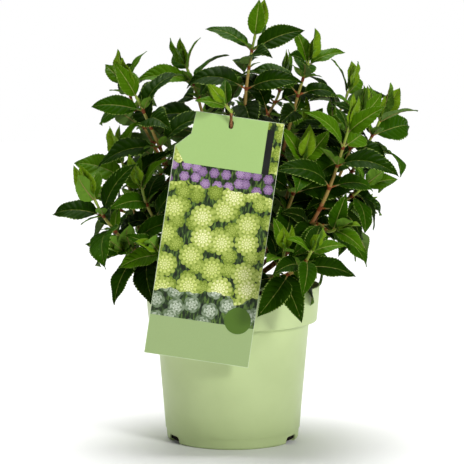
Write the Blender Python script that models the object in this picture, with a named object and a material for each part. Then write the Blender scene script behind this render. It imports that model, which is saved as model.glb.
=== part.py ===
"""A young panicle hydrangea in its plastic nursery pot, with a hang label threaded on one shoot.

The pot stands on its flat underside, whose centre is the origin. X runs to the right, Y to the back
and Z up, in metres; the label hangs at the front. A short woody trunk sits on the filled pot. One
tapering bough rises from it to each mass of foliage. In a mass, shoots branch from one stem and
carry opposite pairs of leaves, each pair a quarter turn from the last.
"""

import math
import random
from typing import NamedTuple

import bmesh
import bpy
from mathutils import Matrix, Vector
from mathutils.bvhtree import BVHTree

MM = 0.001
GAP = 0.3 * MM

# Pot, a turned shell with a deep collar
POT_HEIGHT = 170 * MM
RIM_RADIUS = 95.5 * MM
COLLAR_DEPTH = 39 * MM
COLLAR_FOOT_RADIUS = 92.5 * MM
BODY_RADIUS = 84 * MM
BASE_RADIUS = 73 * MM
WALL = 1.6 * MM
FLOOR = 2.2 * MM
FOOT_BAND = 11.5 * MM
FOOT_STEP = 0.8 * MM
HEEL_RADIUS = 3 * MM
POT_BEVEL = 1 * MM
POT_SIDES = 36
NOTCH_BEARINGS = (28, 152, 208, 332)
NOTCH_WIDTH = 22 * MM
NOTCH_HEIGHT = 8 * MM
NOTCH_DEPTH = 4.5 * MM
NOTCH_ROUND = 4 * MM
NOTCH_STEPS = 3

# Potting mix
MIX_LEVEL = 150 * MM
MIX_SIDES = 24
MIX_RINGS = 4
MIX_LUMP = 1.6 * MM
MIX_SHOULDER = 2 * MM
SEAT_RADIUS = 19 * MM

# Trunk, a short stump that flares at the mix and is domed at its top
DOME_RADIUS = 12 * MM
DOME_CENTRE = 163 * MM
FLARE_RADIUS = 16.5 * MM
FLARE_STATIONS = ((4, 1.2), (9, 0))
DOME_TILTS = (72, 48, 24)
TRUNK_SIDES = 16

# Hang label, a stiff card that leans on the rim
LABEL_LEFT = -55 * MM
LABEL_RIGHT = 55 * MM
LABEL_FOOT = -68 * MM
LABEL_HEAD = 190 * MM
LABEL_CORNER = ((-38, 190), (-40, 166), (-55, 151))
LABEL_THICK = 0.7 * MM
LABEL_ROLL = math.radians(8.5)
LABEL_LEAN = math.radians(5)
LABEL_X = -28.4 * MM
SLOT_CENTRE = 181 * MM
SLOT_WIDTH = 5 * MM
SLOT_HEIGHT = 9 * MM
SLOT_ARC_STEPS = 5
SHOOT_FORWARD = 0.6
BARE_MARGIN = 4 * MM

# Stems
FOOT_WIDTH = 2.5 * MM
TIP_WIDTH = 1.15 * MM
BOUGH_SIDES = 6
TWIG_SIDES = 3
BOUGH_STEP = 17 * MM
TWIG_STEP = 20 * MM
FINE_STEPS = 60
PAST_SLOT = 16 * MM
LABEL_SHOOT_SHARE = 0.8
SIDE_FIRST = 0.06
SIDE_NEXT = 0.12
SIDE_AIM = 1.2
SIDE_RADIUS = 0.85

# Leaf pairs, counted down from the newest at a shoot's tip
PAIR_BELOW_TIP = (0, 6, 21, 40, 63, 86, 110, 134, 158)
PAIR_LENGTH = (33, 42, 56, 63, 66, 66, 62, 58, 54)
PAIR_OPENING = (9, 34, 50, 58, 64, 70, 74, 78, 80)
PAIR_DROOP = (6, 50, 66, 76, 84, 90, 96, 100, 100)
PAIR_PETIOLE = (1.5, 3, 6, 8, 9, 9, 9, 9, 9)
LEAF_BREADTH = 0.43
LEAF_FOLD = math.radians(17)
LEAF_THICK = 0.016
CROWN_AXIS = Vector((0, 70 * MM, 0))
FACE_OUT = 1.1
FACE_SCATTER = 0.5
PETIOLE_WIDTH = 0.8 * MM
BLADE_STATIONS = ((0.30, 0.93), (0.66, 0.80))
YOUNG_STATIONS = ((0.42, 1.0),)
YOUNG_PAIRS = 2
TURN_PER_PAIR = 90
TURN_SCATTER = 9
SIZE_SCATTER = 0.09
ANGLE_SCATTER = 7
CLEAR = 0.5 * MM
SEED = 20

# Shading keeps edges sharper than these sharp
TURNED_EDGE = 35
LIMB_EDGE = 60

# What is tried in turn for a leaf that doesn't fit: its length's share, a turn about Z and a lift
TRIES = (
    (1, 0, 0), (1, 14, 0), (1, -14, 0), (1, 0, -12), (1, 0, 14), (0.88, 24, 0), (0.88, -24, 0),
    (0.88, 14, -16), (0.88, -14, 16), (0.74, 34, 0), (0.74, -34, 0), (0.66, 0, 24), (0.6, 0, -24),
)


class Shoot(NamedTuple):
    """A leafy shoot: its tip in millimetres, its sideways run for each unit of rise there, the
    compass bearing of its newest pair, how many pairs it bears, the seed of its scatter and how
    large its leaves are."""

    tip: tuple
    lean: tuple
    turn: float
    pairs: int
    seed: int = 1
    size: float = 1.0


class Mass(NamedTuple):
    """A mass of foliage: the bearing and tilt at which its bough leaves the trunk's dome, how
    strongly it sets out that way, the share of the way where the bough ends, and its shoots. The
    first shoot goes on from the bough and the others branch from it."""

    bearing: float
    tilt: float
    drive: float
    fork: float
    shoots: tuple


MASSES = {
    "top_centre": Mass(300, 16, 1.0, 0.45, (
        Shoot((25, 2, 445), (0.24, 0), 170, 7, 13),
        Shoot((56, 66, 396), (0.1, 0.15), 45, 5, 53, 0.87),
    )),
    "top_right": Mass(20, 30, 1.0, 0.45, (
        Shoot((83, 5, 414), (0.35, 0), 90, 8, 24, 0.98),
        Shoot((130, 64, 381), (0.2, 0.2), 140, 5, 4, 1.05),
    )),
    "left_high": Mass(170, 34, 1.0, 0.42, (
        Shoot((-106, -22, 380), (-0.5, -0.08), 5, 7, 16, 1.05),
        Shoot((-119, 38, 393), (-0.25, 0.05), 75, 4, 58, 0.95),
    )),
    "top_left": Mass(120, 24, 1.0, 0.50, (
        Shoot((-52, 46, 408), (-0.45, 0.1), 30, 6, 3),
        Shoot((-3, 96, 370), (0.1, 0.3), 15, 4, 52, 1.07),
    )),
    "right_front": Mass(330, 62, 1.45, 0.42, (
        Shoot((123, -53, 344), (0.28, -0.03), 40, 7, 7, 1.07),
        Shoot((109, -88, 240), (0.6, -0.4), 50, 4, 43, 0.97),
    )),
    "left_low": Mass(197, 74, 1.25, 0.36, (
        Shoot((-149, -47, 270), (-0.42, -0.05), 160, 6, 2, 1.12),
        Shoot((-122, 10, 306), (-0.35, 0.1), 20, 5, 21, 1.14),
        Shoot((-116, -58, 213), (-0.6, -0.3), 45, 3, 44),
    )),
    "right_back": Mass(22, 64, 1.1, 0.40, (
        Shoot((164, 22, 352), (0.5, 0.1), 40, 6, 9, 1.1),
        Shoot((138, -4, 356), (0.2, -0.15), 75, 4, 53, 0.98),
        Shoot((144, -8, 280), (0.6, 0), 125, 4, 7, 0.99),
    )),
    "left_front": Mass(232, 66, 1.1, 0.40, (
        Shoot((-98, -38, 281), (-0.15, -0.15), 55, 5, 57, 1.03),
        Shoot((-79, -76, 216), (-0.5, -0.4), 10, 4, 18, 0.92),
    )),
    "front_low": Mass(293, 72, 1.1, 0.38, (
        Shoot((81, -128, 222), (0.25, -0.8), 100, 4, 6, 0.85),
        Shoot((54, -102, 220), (0.1, -0.4), 20, 4, 22, 0.9),
    )),
    "inner_right": Mass(345, 42, 1.1, 0.42, (
        Shoot((75, -48, 311), (0.2, -0.25), 100, 5, 10, 1.03),
        Shoot((74, 40, 336), (0.2, 0.2), 85, 5, 8, 1.08),
    )),
    "label_shoot": Mass(262, 46, 1.3, 1.0, (
        Shoot((-8, -91, 370), (-0.1, -0.1), 120, 2, 9, 0.75),
    )),
    "back_left": Mass(150, 66, 1.1, 0.40, (
        Shoot((-92, 112, 318), (-0.3, 0.3), 45, 6),
        Shoot((-142, 68, 258), (-0.7, 0.2), 0, 5),
    )),
    "back_centre": Mass(82, 50, 1.1, 0.42, (
        Shoot((-22, 142, 330), (-0.05, 0.35), 0, 6),
        Shoot((44, 150, 318), (0.2, 0.4), 60, 6, 2),
    )),
    "back_right": Mass(52, 70, 1.1, 0.40, (
        Shoot((108, 112, 308), (0.3, 0.3), 90, 6),
        Shoot((136, 78, 240), (0.6, 0.3), 20, 5, 2),
    )),
    "back_low": Mass(108, 76, 1.1, 0.38, (
        Shoot((-58, 130, 232), (-0.3, 0.6), 30, 5),
        Shoot((38, 128, 228), (0.2, 0.6), 70, 5, 2),
    )),
}


class Stem(NamedTuple):
    """A limb or twig: points along it, its radius at its foot and its tip, and the directions
    that its two ends face."""

    points: list
    wide: float
    narrow: float
    ends: tuple


class Leaf(NamedTuple):
    """Where a leaf grows: the middle of its stem, the way it sets out, the direction across its
    blade, its blade's length, its bend from base to tip, its petiole's length and its pair."""

    root: Vector
    way: Vector
    across: Vector
    length: float
    droop: float
    petiole: float
    pair: int


# Shapes made from points and faces

def add_object(name, points, faces, material):
    mesh = bpy.data.meshes.new(name)
    mesh.from_pydata([tuple(point) for point in points], [], faces)
    mesh.materials.append(material)
    body = bpy.data.objects.new(name, mesh)
    bpy.context.scene.collection.objects.link(body)
    return body


def turned(profile, sides):
    """A solid turned about Z from (radius, height) pairs, up one side from axis to axis."""
    points = []
    faces = []
    rings = []
    for radius, height in profile:
        if radius == 0:
            rings.append([len(points)])
            points.append(Vector((0, 0, height)))
            continue
        rings.append(list(range(len(points), len(points) + sides)))
        for side in range(sides):
            bearing = math.tau * side / sides
            points.append(Vector((radius * math.cos(bearing), radius * math.sin(bearing), height)))
    for low, high in zip(rings, rings[1:]):
        for side in range(sides):
            after = (side + 1) % sides
            corners = [low[side % len(low)], low[after % len(low)]]
            corners += [high[after % len(high)], high[side % len(high)]]
            faces.append(list(dict.fromkeys(corners)))
    return points, faces


def tube(path, radii, sides, ends):
    """A capped tube along a path, with the radius given at each of its points. Its caps face
    along the two directions in ends."""
    points = []
    faces = []
    across = (path[1] - path[0]).orthogonal().normalized()
    turns = [ends[0]] + [after - before for before, after in zip(path, path[2:])] + [ends[1]]
    for centre, radius, turn in zip(path, radii, turns):
        along = turn.normalized()
        across = (across - along * across.dot(along)).normalized()
        other = along.cross(across)
        for side in range(sides):
            angle = math.tau * side / sides
            points.append(centre + (across * math.cos(angle) + other * math.sin(angle)) * radius)
    for ring in range(len(path) - 1):
        for side in range(sides):
            here = ring * sides + side
            beside = ring * sides + (side + 1) % sides
            faces.append((here, beside, beside + sides, here + sides))
    faces.append(tuple(reversed(range(sides))))
    faces.append(tuple(range(len(points) - sides, len(points))))
    return points, faces


def bent(leaf, distance):
    """A leaf's direction at a distance along its blade. The petiole is straight."""
    bend = leaf.droop * max(distance, 0) / leaf.length
    return Matrix.Rotation(bend, 3, leaf.across) @ leaf.way


def leaf_solid(leaf, swell=0.0):
    """A leaf as one closed body: a petiole sunk into the stem, then a folded blade that bends
    down to a sharp tip. With swell it is that much larger on every side."""
    points = []
    faces = []
    stations = [(-leaf.petiole, PETIOLE_WIDTH, 0), (0, PETIOLE_WIDTH, 0)]
    half = leaf.length * LEAF_BREADTH / 2
    blade = YOUNG_STATIONS if leaf.pair < YOUNG_PAIRS else BLADE_STATIONS
    stations += [(share * leaf.length, half * broad, 1) for share, broad in blade]
    thick = max(leaf.length * LEAF_THICK, PETIOLE_WIDTH) / 2
    centre = leaf.root
    reached = -leaf.petiole
    for distance, breadth, folded in stations:
        centre = centre + bent(leaf, (reached + distance) / 2) * (distance - reached)
        reached = distance
        up = bent(leaf, distance).cross(leaf.across)
        raised = up * (breadth * math.tan(LEAF_FOLD) * folded)
        side = leaf.across * (breadth + swell)
        points += [centre - side + raised, centre - up * (thick + swell)]
        points += [centre + side + raised, centre + up * (thick + swell)]
    tip = centre + bent(leaf, (reached + leaf.length) / 2) * (leaf.length - reached + swell)
    for ring in range(len(stations) - 1):
        for side in range(4):
            here = ring * 4 + side
            beside = ring * 4 + (side + 1) % 4
            faces.append((here, beside, beside + 4, here + 4))
    final = 4 * (len(stations) - 1)
    faces += [(final + side, final + (side + 1) % 4, len(points)) for side in range(4)]
    faces.append((3, 2, 1, 0))
    return points + [tip], faces


def blade_faces(faces):
    """A leaf's faces without its petiole's, which join its first two sections."""
    return [face for face in faces if min(face) >= 4]


# Pot and potting mix

def pot_profile():
    collar_foot = POT_HEIGHT - COLLAR_DEPTH
    band = FOOT_BAND
    slope = (BODY_RADIUS - BASE_RADIUS) / collar_foot
    outer = [(0, 0), (BASE_RADIUS - HEEL_RADIUS, 0), (BASE_RADIUS - FOOT_STEP, HEEL_RADIUS)]
    outer += [(BASE_RADIUS - FOOT_STEP + slope * band, band)]
    outer += [(BASE_RADIUS + slope * band, band + FOOT_STEP)]
    outer += [(BODY_RADIUS, collar_foot), (COLLAR_FOOT_RADIUS - POT_BEVEL, collar_foot)]
    outer += [(COLLAR_FOOT_RADIUS, collar_foot + POT_BEVEL), (RIM_RADIUS, POT_HEIGHT - POT_BEVEL)]
    outer += [(RIM_RADIUS - WALL / 2, POT_HEIGHT)]
    inner = [(RIM_RADIUS - WALL, POT_HEIGHT - POT_BEVEL)]
    inner += [(COLLAR_FOOT_RADIUS - WALL, collar_foot + 2 * WALL)]
    inner += [(BODY_RADIUS - WALL, collar_foot + WALL), (inner_radius(FLOOR), FLOOR), (0, FLOOR)]
    return outer + inner


def inner_radius(height):
    """The pot's inner radius below its collar."""
    collar_foot = POT_HEIGHT - COLLAR_DEPTH + WALL
    share = (height - FLOOR) / (collar_foot - FLOOR)
    low = BASE_RADIUS - FOOT_STEP - WALL
    return low + (BODY_RADIUS - WALL - low) * share


def make_pot(material):
    points, faces = turned(pot_profile(), POT_SIDES)
    pot = add_object("pot", points, faces, material)
    for index, bearing in enumerate(NOTCH_BEARINGS):
        cutter = notch_cutter(f"notch_cutter_{index}", math.radians(bearing))
        cut = pot.modifiers.new(f"notch_{index}", "BOOLEAN")
        cut.operation = "DIFFERENCE"
        cut.object = cutter
    return pot


def notch_outline():
    """A drain notch's arch, from below the ground on one side, over and down on the other."""
    half = NOTCH_WIDTH / 2
    outline = [(half, -NOTCH_ROUND)]
    for side, first in ((1, 0), (-1, 90)):
        for step in range(NOTCH_STEPS + 1):
            angle = math.radians(first + 90 * step / NOTCH_STEPS)
            across = side * (half - NOTCH_ROUND) + NOTCH_ROUND * math.cos(angle)
            outline.append((across, NOTCH_HEIGHT - NOTCH_ROUND + NOTCH_ROUND * math.sin(angle)))
    outline.append((-half, -NOTCH_ROUND))
    return outline


def notch_cutter(name, bearing):
    """A prism through the pot's foot at a bearing, hidden from the part."""
    outline = notch_outline()
    count = len(outline)
    turn = Matrix.Rotation(bearing, 4, "Z")
    reach = (BASE_RADIUS - NOTCH_DEPTH, BASE_RADIUS + NOTCH_DEPTH)
    points = [turn @ Vector((out, across, up)) for out in reach for across, up in outline]
    faces = [tuple(range(count - 1, -1, -1)), tuple(range(count, 2 * count))]
    for index in range(count):
        after = (index + 1) % count
        faces.append((index, after, count + after, count + index))
    mesh = bpy.data.meshes.new(name)
    mesh.from_pydata(points, [], faces)
    cutter = bpy.data.objects.new(name, mesh)
    cutter.hide_render = True
    cutter.display_type = "WIRE"
    bpy.context.scene.collection.objects.link(cutter)
    return cutter


def mix_profile():
    """The potting mix from its centre below, out and up the pot's wall, and back over the top."""
    collar_foot = POT_HEIGHT - COLLAR_DEPTH + WALL
    below = FLOOR + GAP
    wall = [(0, below), (inner_radius(below) - 2 * GAP, below)]
    wall += [(inner_radius(collar_foot) - 2 * GAP, collar_foot)]
    shoulder = COLLAR_FOOT_RADIUS - WALL - 2 * GAP
    wall += [(shoulder, collar_foot + WALL + 2 * GAP), (shoulder, MIX_LEVEL - MIX_SHOULDER)]
    run = shoulder - SEAT_RADIUS
    top = [(shoulder - run * ring / MIX_RINGS, MIX_LEVEL) for ring in range(1, MIX_RINGS + 1)]
    return wall + top + [(0, MIX_LEVEL)]


def make_mix(material):
    points, faces = turned(mix_profile(), MIX_SIDES)
    scatter = random.Random(SEED)
    for point in points:
        out = math.hypot(point.x, point.y)
        if point.z == MIX_LEVEL and out > SEAT_RADIUS + MM:
            point.z += scatter.uniform(-MIX_LUMP, MIX_LUMP)
    return add_object("potting_mix", points, faces, material)


def make_trunk(material):
    ground = MIX_LEVEL + GAP
    profile = [(0, ground), (FLARE_RADIUS, ground)]
    profile += [(DOME_RADIUS + more * MM, ground + rise * MM) for rise, more in FLARE_STATIONS]
    for tilt in DOME_TILTS:
        angle = math.radians(tilt)
        profile.append((DOME_RADIUS * math.sin(angle), DOME_CENTRE + DOME_RADIUS * math.cos(angle)))
    profile.append((0, DOME_CENTRE + DOME_RADIUS))
    points, faces = turned(profile, TRUNK_SIDES)
    return add_object("trunk", points, faces, material)


# Label

def label_place():
    """The card's own axes: X across it, Y through it to the back, Z up it, from the rim's height."""
    lean = Matrix.Rotation(-LABEL_LEAN, 4, "X")
    roll = Matrix.Rotation(LABEL_ROLL, 4, "Y")
    back = RIM_RADIUS + GAP + LABEL_THICK / 2 / math.cos(LABEL_LEAN)
    return Matrix.Translation((LABEL_X, -back, POT_HEIGHT)) @ lean @ roll


def label_outline():
    outline = [(LABEL_LEFT, LABEL_FOOT), (LABEL_RIGHT, LABEL_FOOT), (LABEL_RIGHT, LABEL_HEAD)]
    return outline + [(x * MM, z * MM) for x, z in LABEL_CORNER]


def slot_outline():
    """A slot with round ends, upright in the card."""
    radius = SLOT_WIDTH / 2
    reach = SLOT_HEIGHT / 2 - radius
    outline = []
    for end, start in ((1, 0), (-1, math.pi)):
        for step in range(SLOT_ARC_STEPS + 1):
            angle = start + math.pi * step / SLOT_ARC_STEPS
            height = SLOT_CENTRE + end * reach + radius * math.sin(angle)
            outline.append((radius * math.cos(angle), height))
    return outline


def make_label(material):
    outline = label_outline()
    hole = slot_outline()
    grid = bmesh.new()
    front = -LABEL_THICK / 2
    loops = []
    for loop in (outline, hole):
        ring = [grid.verts.new((x, front, z)) for x, z in loop]
        loops += [grid.edges.new((ring[i - 1], ring[i])) for i in range(len(ring))]
    made = bmesh.ops.triangle_fill(grid, use_beauty=True, edges=loops, normal=(0, -1, 0))
    card = [piece for piece in made["geom"] if isinstance(piece, bmesh.types.BMFace)]
    thick = bmesh.ops.extrude_face_region(grid, geom=card)
    moved = [piece for piece in thick["geom"] if isinstance(piece, bmesh.types.BMVert)]
    bmesh.ops.translate(grid, verts=moved, vec=(0, LABEL_THICK, 0))
    bmesh.ops.recalc_face_normals(grid, faces=grid.faces)
    bmesh.ops.transform(grid, matrix=label_place(), verts=grid.verts)
    mesh = bpy.data.meshes.new("label")
    grid.to_mesh(mesh)
    grid.free()
    mesh.materials.append(material)
    label = bpy.data.objects.new("label", mesh)
    bpy.context.scene.collection.objects.link(label)
    return label


# The plant's rule

def bezier(start, set_out, arrive, end, steps):
    """Points along a cubic from start to end, with its first and last tangents."""
    points = []
    for step in range(steps + 1):
        t = step / steps
        keep = 1 - t
        near = start + set_out / 3
        far = end - arrive / 3
        point = start * keep**3 + near * (3 * keep * keep * t) + far * (3 * keep * t * t) + end * t**3
        points.append(point)
    return points


def at_share(path, share):
    """The point and direction at a share of a path's points."""
    place = share * (len(path) - 1)
    index = min(int(place), len(path) - 2)
    here, after = path[index], path[index + 1]
    return here.lerp(after, place - index), (after - here).normalized()


def below_tip(path, distance):
    """The point and direction at a distance down from a path's end."""
    for upper, lower in zip(reversed(path), reversed(path[:-1])):
        run = (upper - lower).length
        if distance <= run:
            return upper.lerp(lower, distance / run), (upper - lower).normalized()
        distance -= run
    return None, None


def dome_normal(mass):
    bearing = math.radians(mass.bearing)
    tilt = math.radians(mass.tilt)
    flat = math.sin(tilt)
    return Vector((flat * math.cos(bearing), flat * math.sin(bearing), math.cos(tilt)))


def main_path(mass):
    """A fine path from the trunk's dome to the tip of a mass's first shoot."""
    out = dome_normal(mass)
    start = Vector((0, 0, DOME_CENTRE)) + out * (DOME_RADIUS + GAP)
    end = Vector(mass.shoots[0].tip) * MM
    span = (end - start).length
    arrive = Vector((*mass.shoots[0].lean, 1)).normalized() * span
    return bezier(start, out * span * mass.drive, arrive, end, FINE_STEPS)


def label_path(mass):
    """The label's shoot: up behind the card, through its slot, and up again before its head."""
    out = dome_normal(mass)
    start = Vector((0, 0, DOME_CENTRE)) + out * (DOME_RADIUS + GAP)
    slot = label_place() @ Vector((0, 0, SLOT_CENTRE))
    through = Vector((0, -SHOOT_FORWARD, 1)).normalized()
    span = (slot - start).length
    rise = bezier(start, out * span * mass.drive, through * span, slot, FINE_STEPS)
    above = slot + through * PAST_SLOT
    end = Vector(mass.shoots[0].tip) * MM
    rise.append(above)
    rest = (end - above).length
    lean = Vector((*mass.shoots[0].lean, 1)).normalized()
    return rise, bezier(above, through * rest, lean * rest, end, FINE_STEPS)


def stem_radius(share):
    return FOOT_WIDTH + (TIP_WIDTH - FOOT_WIDTH) * share


def stem_along(path, wide, narrow, step):
    """A stem on a fine path, with points about a step apart."""
    length = sum((b - a).length for a, b in zip(path, path[1:]))
    count = max(2, round(length / step))
    points = [at_share(path, index / count)[0] for index in range(count + 1)]
    return Stem(points, wide, narrow, (path[1] - path[0], path[-1] - path[-2]))


def side_path(stem, share, shoot):
    """A fine path from a share of the way up a stem to a side shoot's tip."""
    root, along = at_share(stem.points, share)
    end = Vector(shoot.tip) * MM
    span = (end - root).length
    aim = (along + (end - root).normalized() * SIDE_AIM).normalized()
    lean = Vector((*shoot.lean, 1)).normalized()
    return bezier(root, aim * span, lean * span, end, FINE_STEPS)


def grow_stems():
    """For each mass its bough, and its stems, of which the first goes on from the bough."""
    grown = {}
    for name, mass in MASSES.items():
        if name == "label_shoot":
            bough, path = label_path(mass)
            fork_radius = stem_radius(LABEL_SHOOT_SHARE)
        else:
            whole = main_path(mass)
            fork = round(mass.fork * FINE_STEPS)
            bough, path = whole[:fork + 1], whole[fork:]
            fork_radius = stem_radius(mass.fork)
        path[0] = path[0] + (path[1] - path[0]).normalized() * GAP
        stems = [stem_along(path, fork_radius, TIP_WIDTH, TWIG_STEP)]
        for index, shoot in enumerate(mass.shoots[1:]):
            side = side_path(stems[0], SIDE_FIRST + SIDE_NEXT * index, shoot)
            stems.append(stem_along(side, fork_radius * SIDE_RADIUS, TIP_WIDTH, TWIG_STEP))
        grown[name] = (stem_along(bough, FOOT_WIDTH, fork_radius, BOUGH_STEP), stems)
    return grown


def leaf_at(point, along, shoot, pair, side, scatter):
    """One leaf of a pair, on the stem at a point. Its blade faces up and out of the crown, as
    leaves turn for light."""
    turn = shoot.turn + TURN_PER_PAIR * pair + 180 * side + scatter.uniform(-1, 1) * TURN_SCATTER
    bearing = math.radians(turn)
    level = Vector((math.cos(bearing), math.sin(bearing), 0))
    outward = (level - along * level.dot(along)).normalized()
    opening = math.radians(PAIR_OPENING[pair] + scatter.uniform(-1, 1) * ANGLE_SCATTER)
    way = along * math.cos(opening) + outward * math.sin(opening)
    facing = point - CROWN_AXIS
    facing.z = 0
    facing = facing.normalized() * FACE_OUT
    aside = [scatter.uniform(-FACE_SCATTER, FACE_SCATTER) for _ in range(2)]
    facing = facing + Vector((*aside, 1))
    across = facing.cross(way).normalized()
    droop = math.radians(PAIR_DROOP[pair] + scatter.uniform(-1, 1) * 2 * ANGLE_SCATTER)
    length = PAIR_LENGTH[pair] * MM * shoot.size * (1 + scatter.uniform(-1, 1) * SIZE_SCATTER)
    return Leaf(point, way, across, length, droop, PAIR_PETIOLE[pair] * MM + TIP_WIDTH, pair)


def tries(leaf):
    """The leaf as it grew, then turned, raised and shortened by steps."""
    for shorter, turn, lift in TRIES:
        swing = Matrix.Rotation(math.radians(turn), 3, "Z")
        raised = Matrix.Rotation(math.radians(lift), 3, leaf.across)
        way = swing @ (raised @ leaf.way)
        across = swing @ leaf.across
        yield leaf._replace(way=way, across=across, length=leaf.length * shorter)


class Taken(NamedTuple):
    """A placed piece: its owner, its box, its surface, and what a leaf of the same owner avoids."""

    owner: str
    low: Vector
    high: Vector
    surface: BVHTree
    blade: BVHTree


class Room:
    """What has been placed so far, so that a new leaf can be kept clear of it. A leaf's blade
    keeps clear of everything, and its petiole only of what isn't its own mass."""

    def __init__(self):
        self.taken = []

    def add(self, owner, points, faces, kept=None):
        blade = BVHTree.FromPolygons(points, faces if kept is None else kept)
        box = [Vector(map(pick, *points)) for pick in (min, max)]
        self.taken.append(Taken(owner, *box, BVHTree.FromPolygons(points, faces), blade))

    def clear(self, owner, points, faces, kept):
        """Whether a piece is clear; kept are those of its faces that its own mass keeps off."""
        low, high = [Vector(map(pick, *points)) for pick in (min, max)]
        surface = BVHTree.FromPolygons(points, faces)
        blade = BVHTree.FromPolygons(points, kept)
        for other in self.taken:
            if any(low[i] > other.high[i] or other.low[i] > high[i] for i in range(3)):
                continue
            if other.owner == owner and blade.overlap(other.blade):
                return False
            if other.owner != owner and surface.overlap(other.surface):
                return False
        return True


def hides_label(points):
    """Whether a point lies before the card's face, its top margin left out."""
    to_card = label_place().inverted()
    for point in points:
        own = to_card @ point
        beside = LABEL_LEFT < own.x < LABEL_RIGHT and LABEL_FOOT < own.z < LABEL_HEAD - BARE_MARGIN
        if own.y < 0 and beside:
            return True
    return False


def grow_leaves(grown, room):
    """Each mass's leaves, the youngest pairs of every shoot first. One that would touch another
    mass, a limb, the pot or the card after every try is left out."""
    leaves = {name: [] for name in grown}
    for pair in range(len(PAIR_LENGTH)):
        for name, (_, stems) in grown.items():
            for shoot, stem in zip(MASSES[name].shoots, stems):
                if pair >= shoot.pairs:
                    continue
                scatter = random.Random(SEED + 100 * shoot.seed + pair)
                point, along = below_tip(stem.points, PAIR_BELOW_TIP[pair] * MM * shoot.size)
                if point is None:
                    continue
                for side in (0, 1):
                    grown_leaf = leaf_at(point, along, shoot, pair, side, scatter)
                    for leaf in tries(grown_leaf):
                        points, faces = leaf_solid(leaf, CLEAR)
                        blade = blade_faces(faces) if pair else []
                        if room.clear(name, points, faces, blade) and not hides_label(points):
                            room.add(name, points, faces, blade)
                            leaves[name].append(leaf)
                            break
    return leaves


# Pieces of the plant

def stem_solid(stem, sides):
    last = len(stem.points) - 1
    radii = [stem.wide + (stem.narrow - stem.wide) * index / last for index in range(last + 1)]
    return tube(stem.points, radii, sides, stem.ends)


def join(base, others):
    """Fuses the others into the base with one union, and drops them."""
    group = bpy.data.collections.new(base.name + "_leaves")
    bpy.context.scene.collection.children.link(group)
    for other in others:
        group.objects.link(other)
        bpy.context.scene.collection.objects.unlink(other)
    union = base.modifiers.new("leaves", "BOOLEAN")
    union.operation = "UNION"
    union.operand_type = "COLLECTION"
    union.collection = group
    union.solver = "MANIFOLD"
    graph = bpy.context.evaluated_depsgraph_get()
    fused = bpy.data.meshes.new_from_object(base.evaluated_get(graph))
    base.modifiers.clear()
    base.data = fused
    for other in others:
        bpy.data.objects.remove(other)
    bpy.data.collections.remove(group)


def make_mass(name, stems, leaves, material):
    base = add_object("foliage_" + name, *stem_solid(stems[0], TWIG_SIDES + 1), material)
    others = [add_object("side_stem", *stem_solid(stem, TWIG_SIDES), material) for stem in stems[1:]]
    others += [add_object("leaf", *leaf_solid(leaf), material) for leaf in leaves]
    join(base, others)


def make_material(name, colour, roughness):
    material = bpy.data.materials.new(name)
    material.use_nodes = True
    shader = material.node_tree.nodes["Principled BSDF"]
    shader.inputs["Base Color"].default_value = (*colour, 1)
    shader.inputs["Roughness"].default_value = roughness
    return material


def smooth(body, angle):
    body.data.shade_smooth()
    body.data.set_sharp_from_angle(angle=math.radians(angle))


def main():
    for old in list(bpy.data.objects):
        bpy.data.objects.remove(old)
    plastic = make_material("pot plastic", (0.50, 0.62, 0.33), 0.45)
    peat = make_material("potting mix", (0.05, 0.033, 0.022), 0.95)
    card = make_material("label card", (0.45, 0.66, 0.28), 0.4)
    bark = make_material("bark", (0.24, 0.11, 0.05), 0.75)
    green = make_material("leaf", (0.06, 0.17, 0.02), 0.45)

    smooth(make_pot(plastic), TURNED_EDGE)
    make_mix(peat)
    make_label(card)
    smooth(make_trunk(bark), TURNED_EDGE)

    room = Room()
    for name in ("pot", "potting_mix", "label", "trunk"):
        body = bpy.data.objects[name].data
        points = [vertex.co.copy() for vertex in body.vertices]
        room.add(name, points, [tuple(face.vertices) for face in body.polygons])

    grown = grow_stems()
    for name, (bough, stems) in grown.items():
        limb = stem_solid(bough, BOUGH_SIDES)
        smooth(add_object("bough_" + name, *limb, bark), LIMB_EDGE)
        room.add("bough_" + name, *limb)
        for stem in stems:
            room.add(name, *stem_solid(stem, TWIG_SIDES))
    leaves = grow_leaves(grown, room)
    for name, (_, stems) in grown.items():
        make_mass(name, stems, leaves[name], green)


main()
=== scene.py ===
"""The looks of a young panicle hydrangea in its nursery pot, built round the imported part.

The axes are the part's own: X to the right, Y to the back, Z up. Lengths are in metres, apart from
tables and ranges that are multiplied by MM where they are used. Their angles are in degrees.

Stems and leaves grow again by the part's rule, so that each fine leaf lies in the space of its plain
one, and the rule then carries on to older pairs, axillary leaves and buds within the same reach.
"""

import random
from math import cos, pi, radians, sin, sqrt, tan, tau
from typing import NamedTuple

import bmesh
import bpy
import numpy as np
from mathutils import Matrix, Vector, noise
from mathutils.bvhtree import BVHTree


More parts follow.
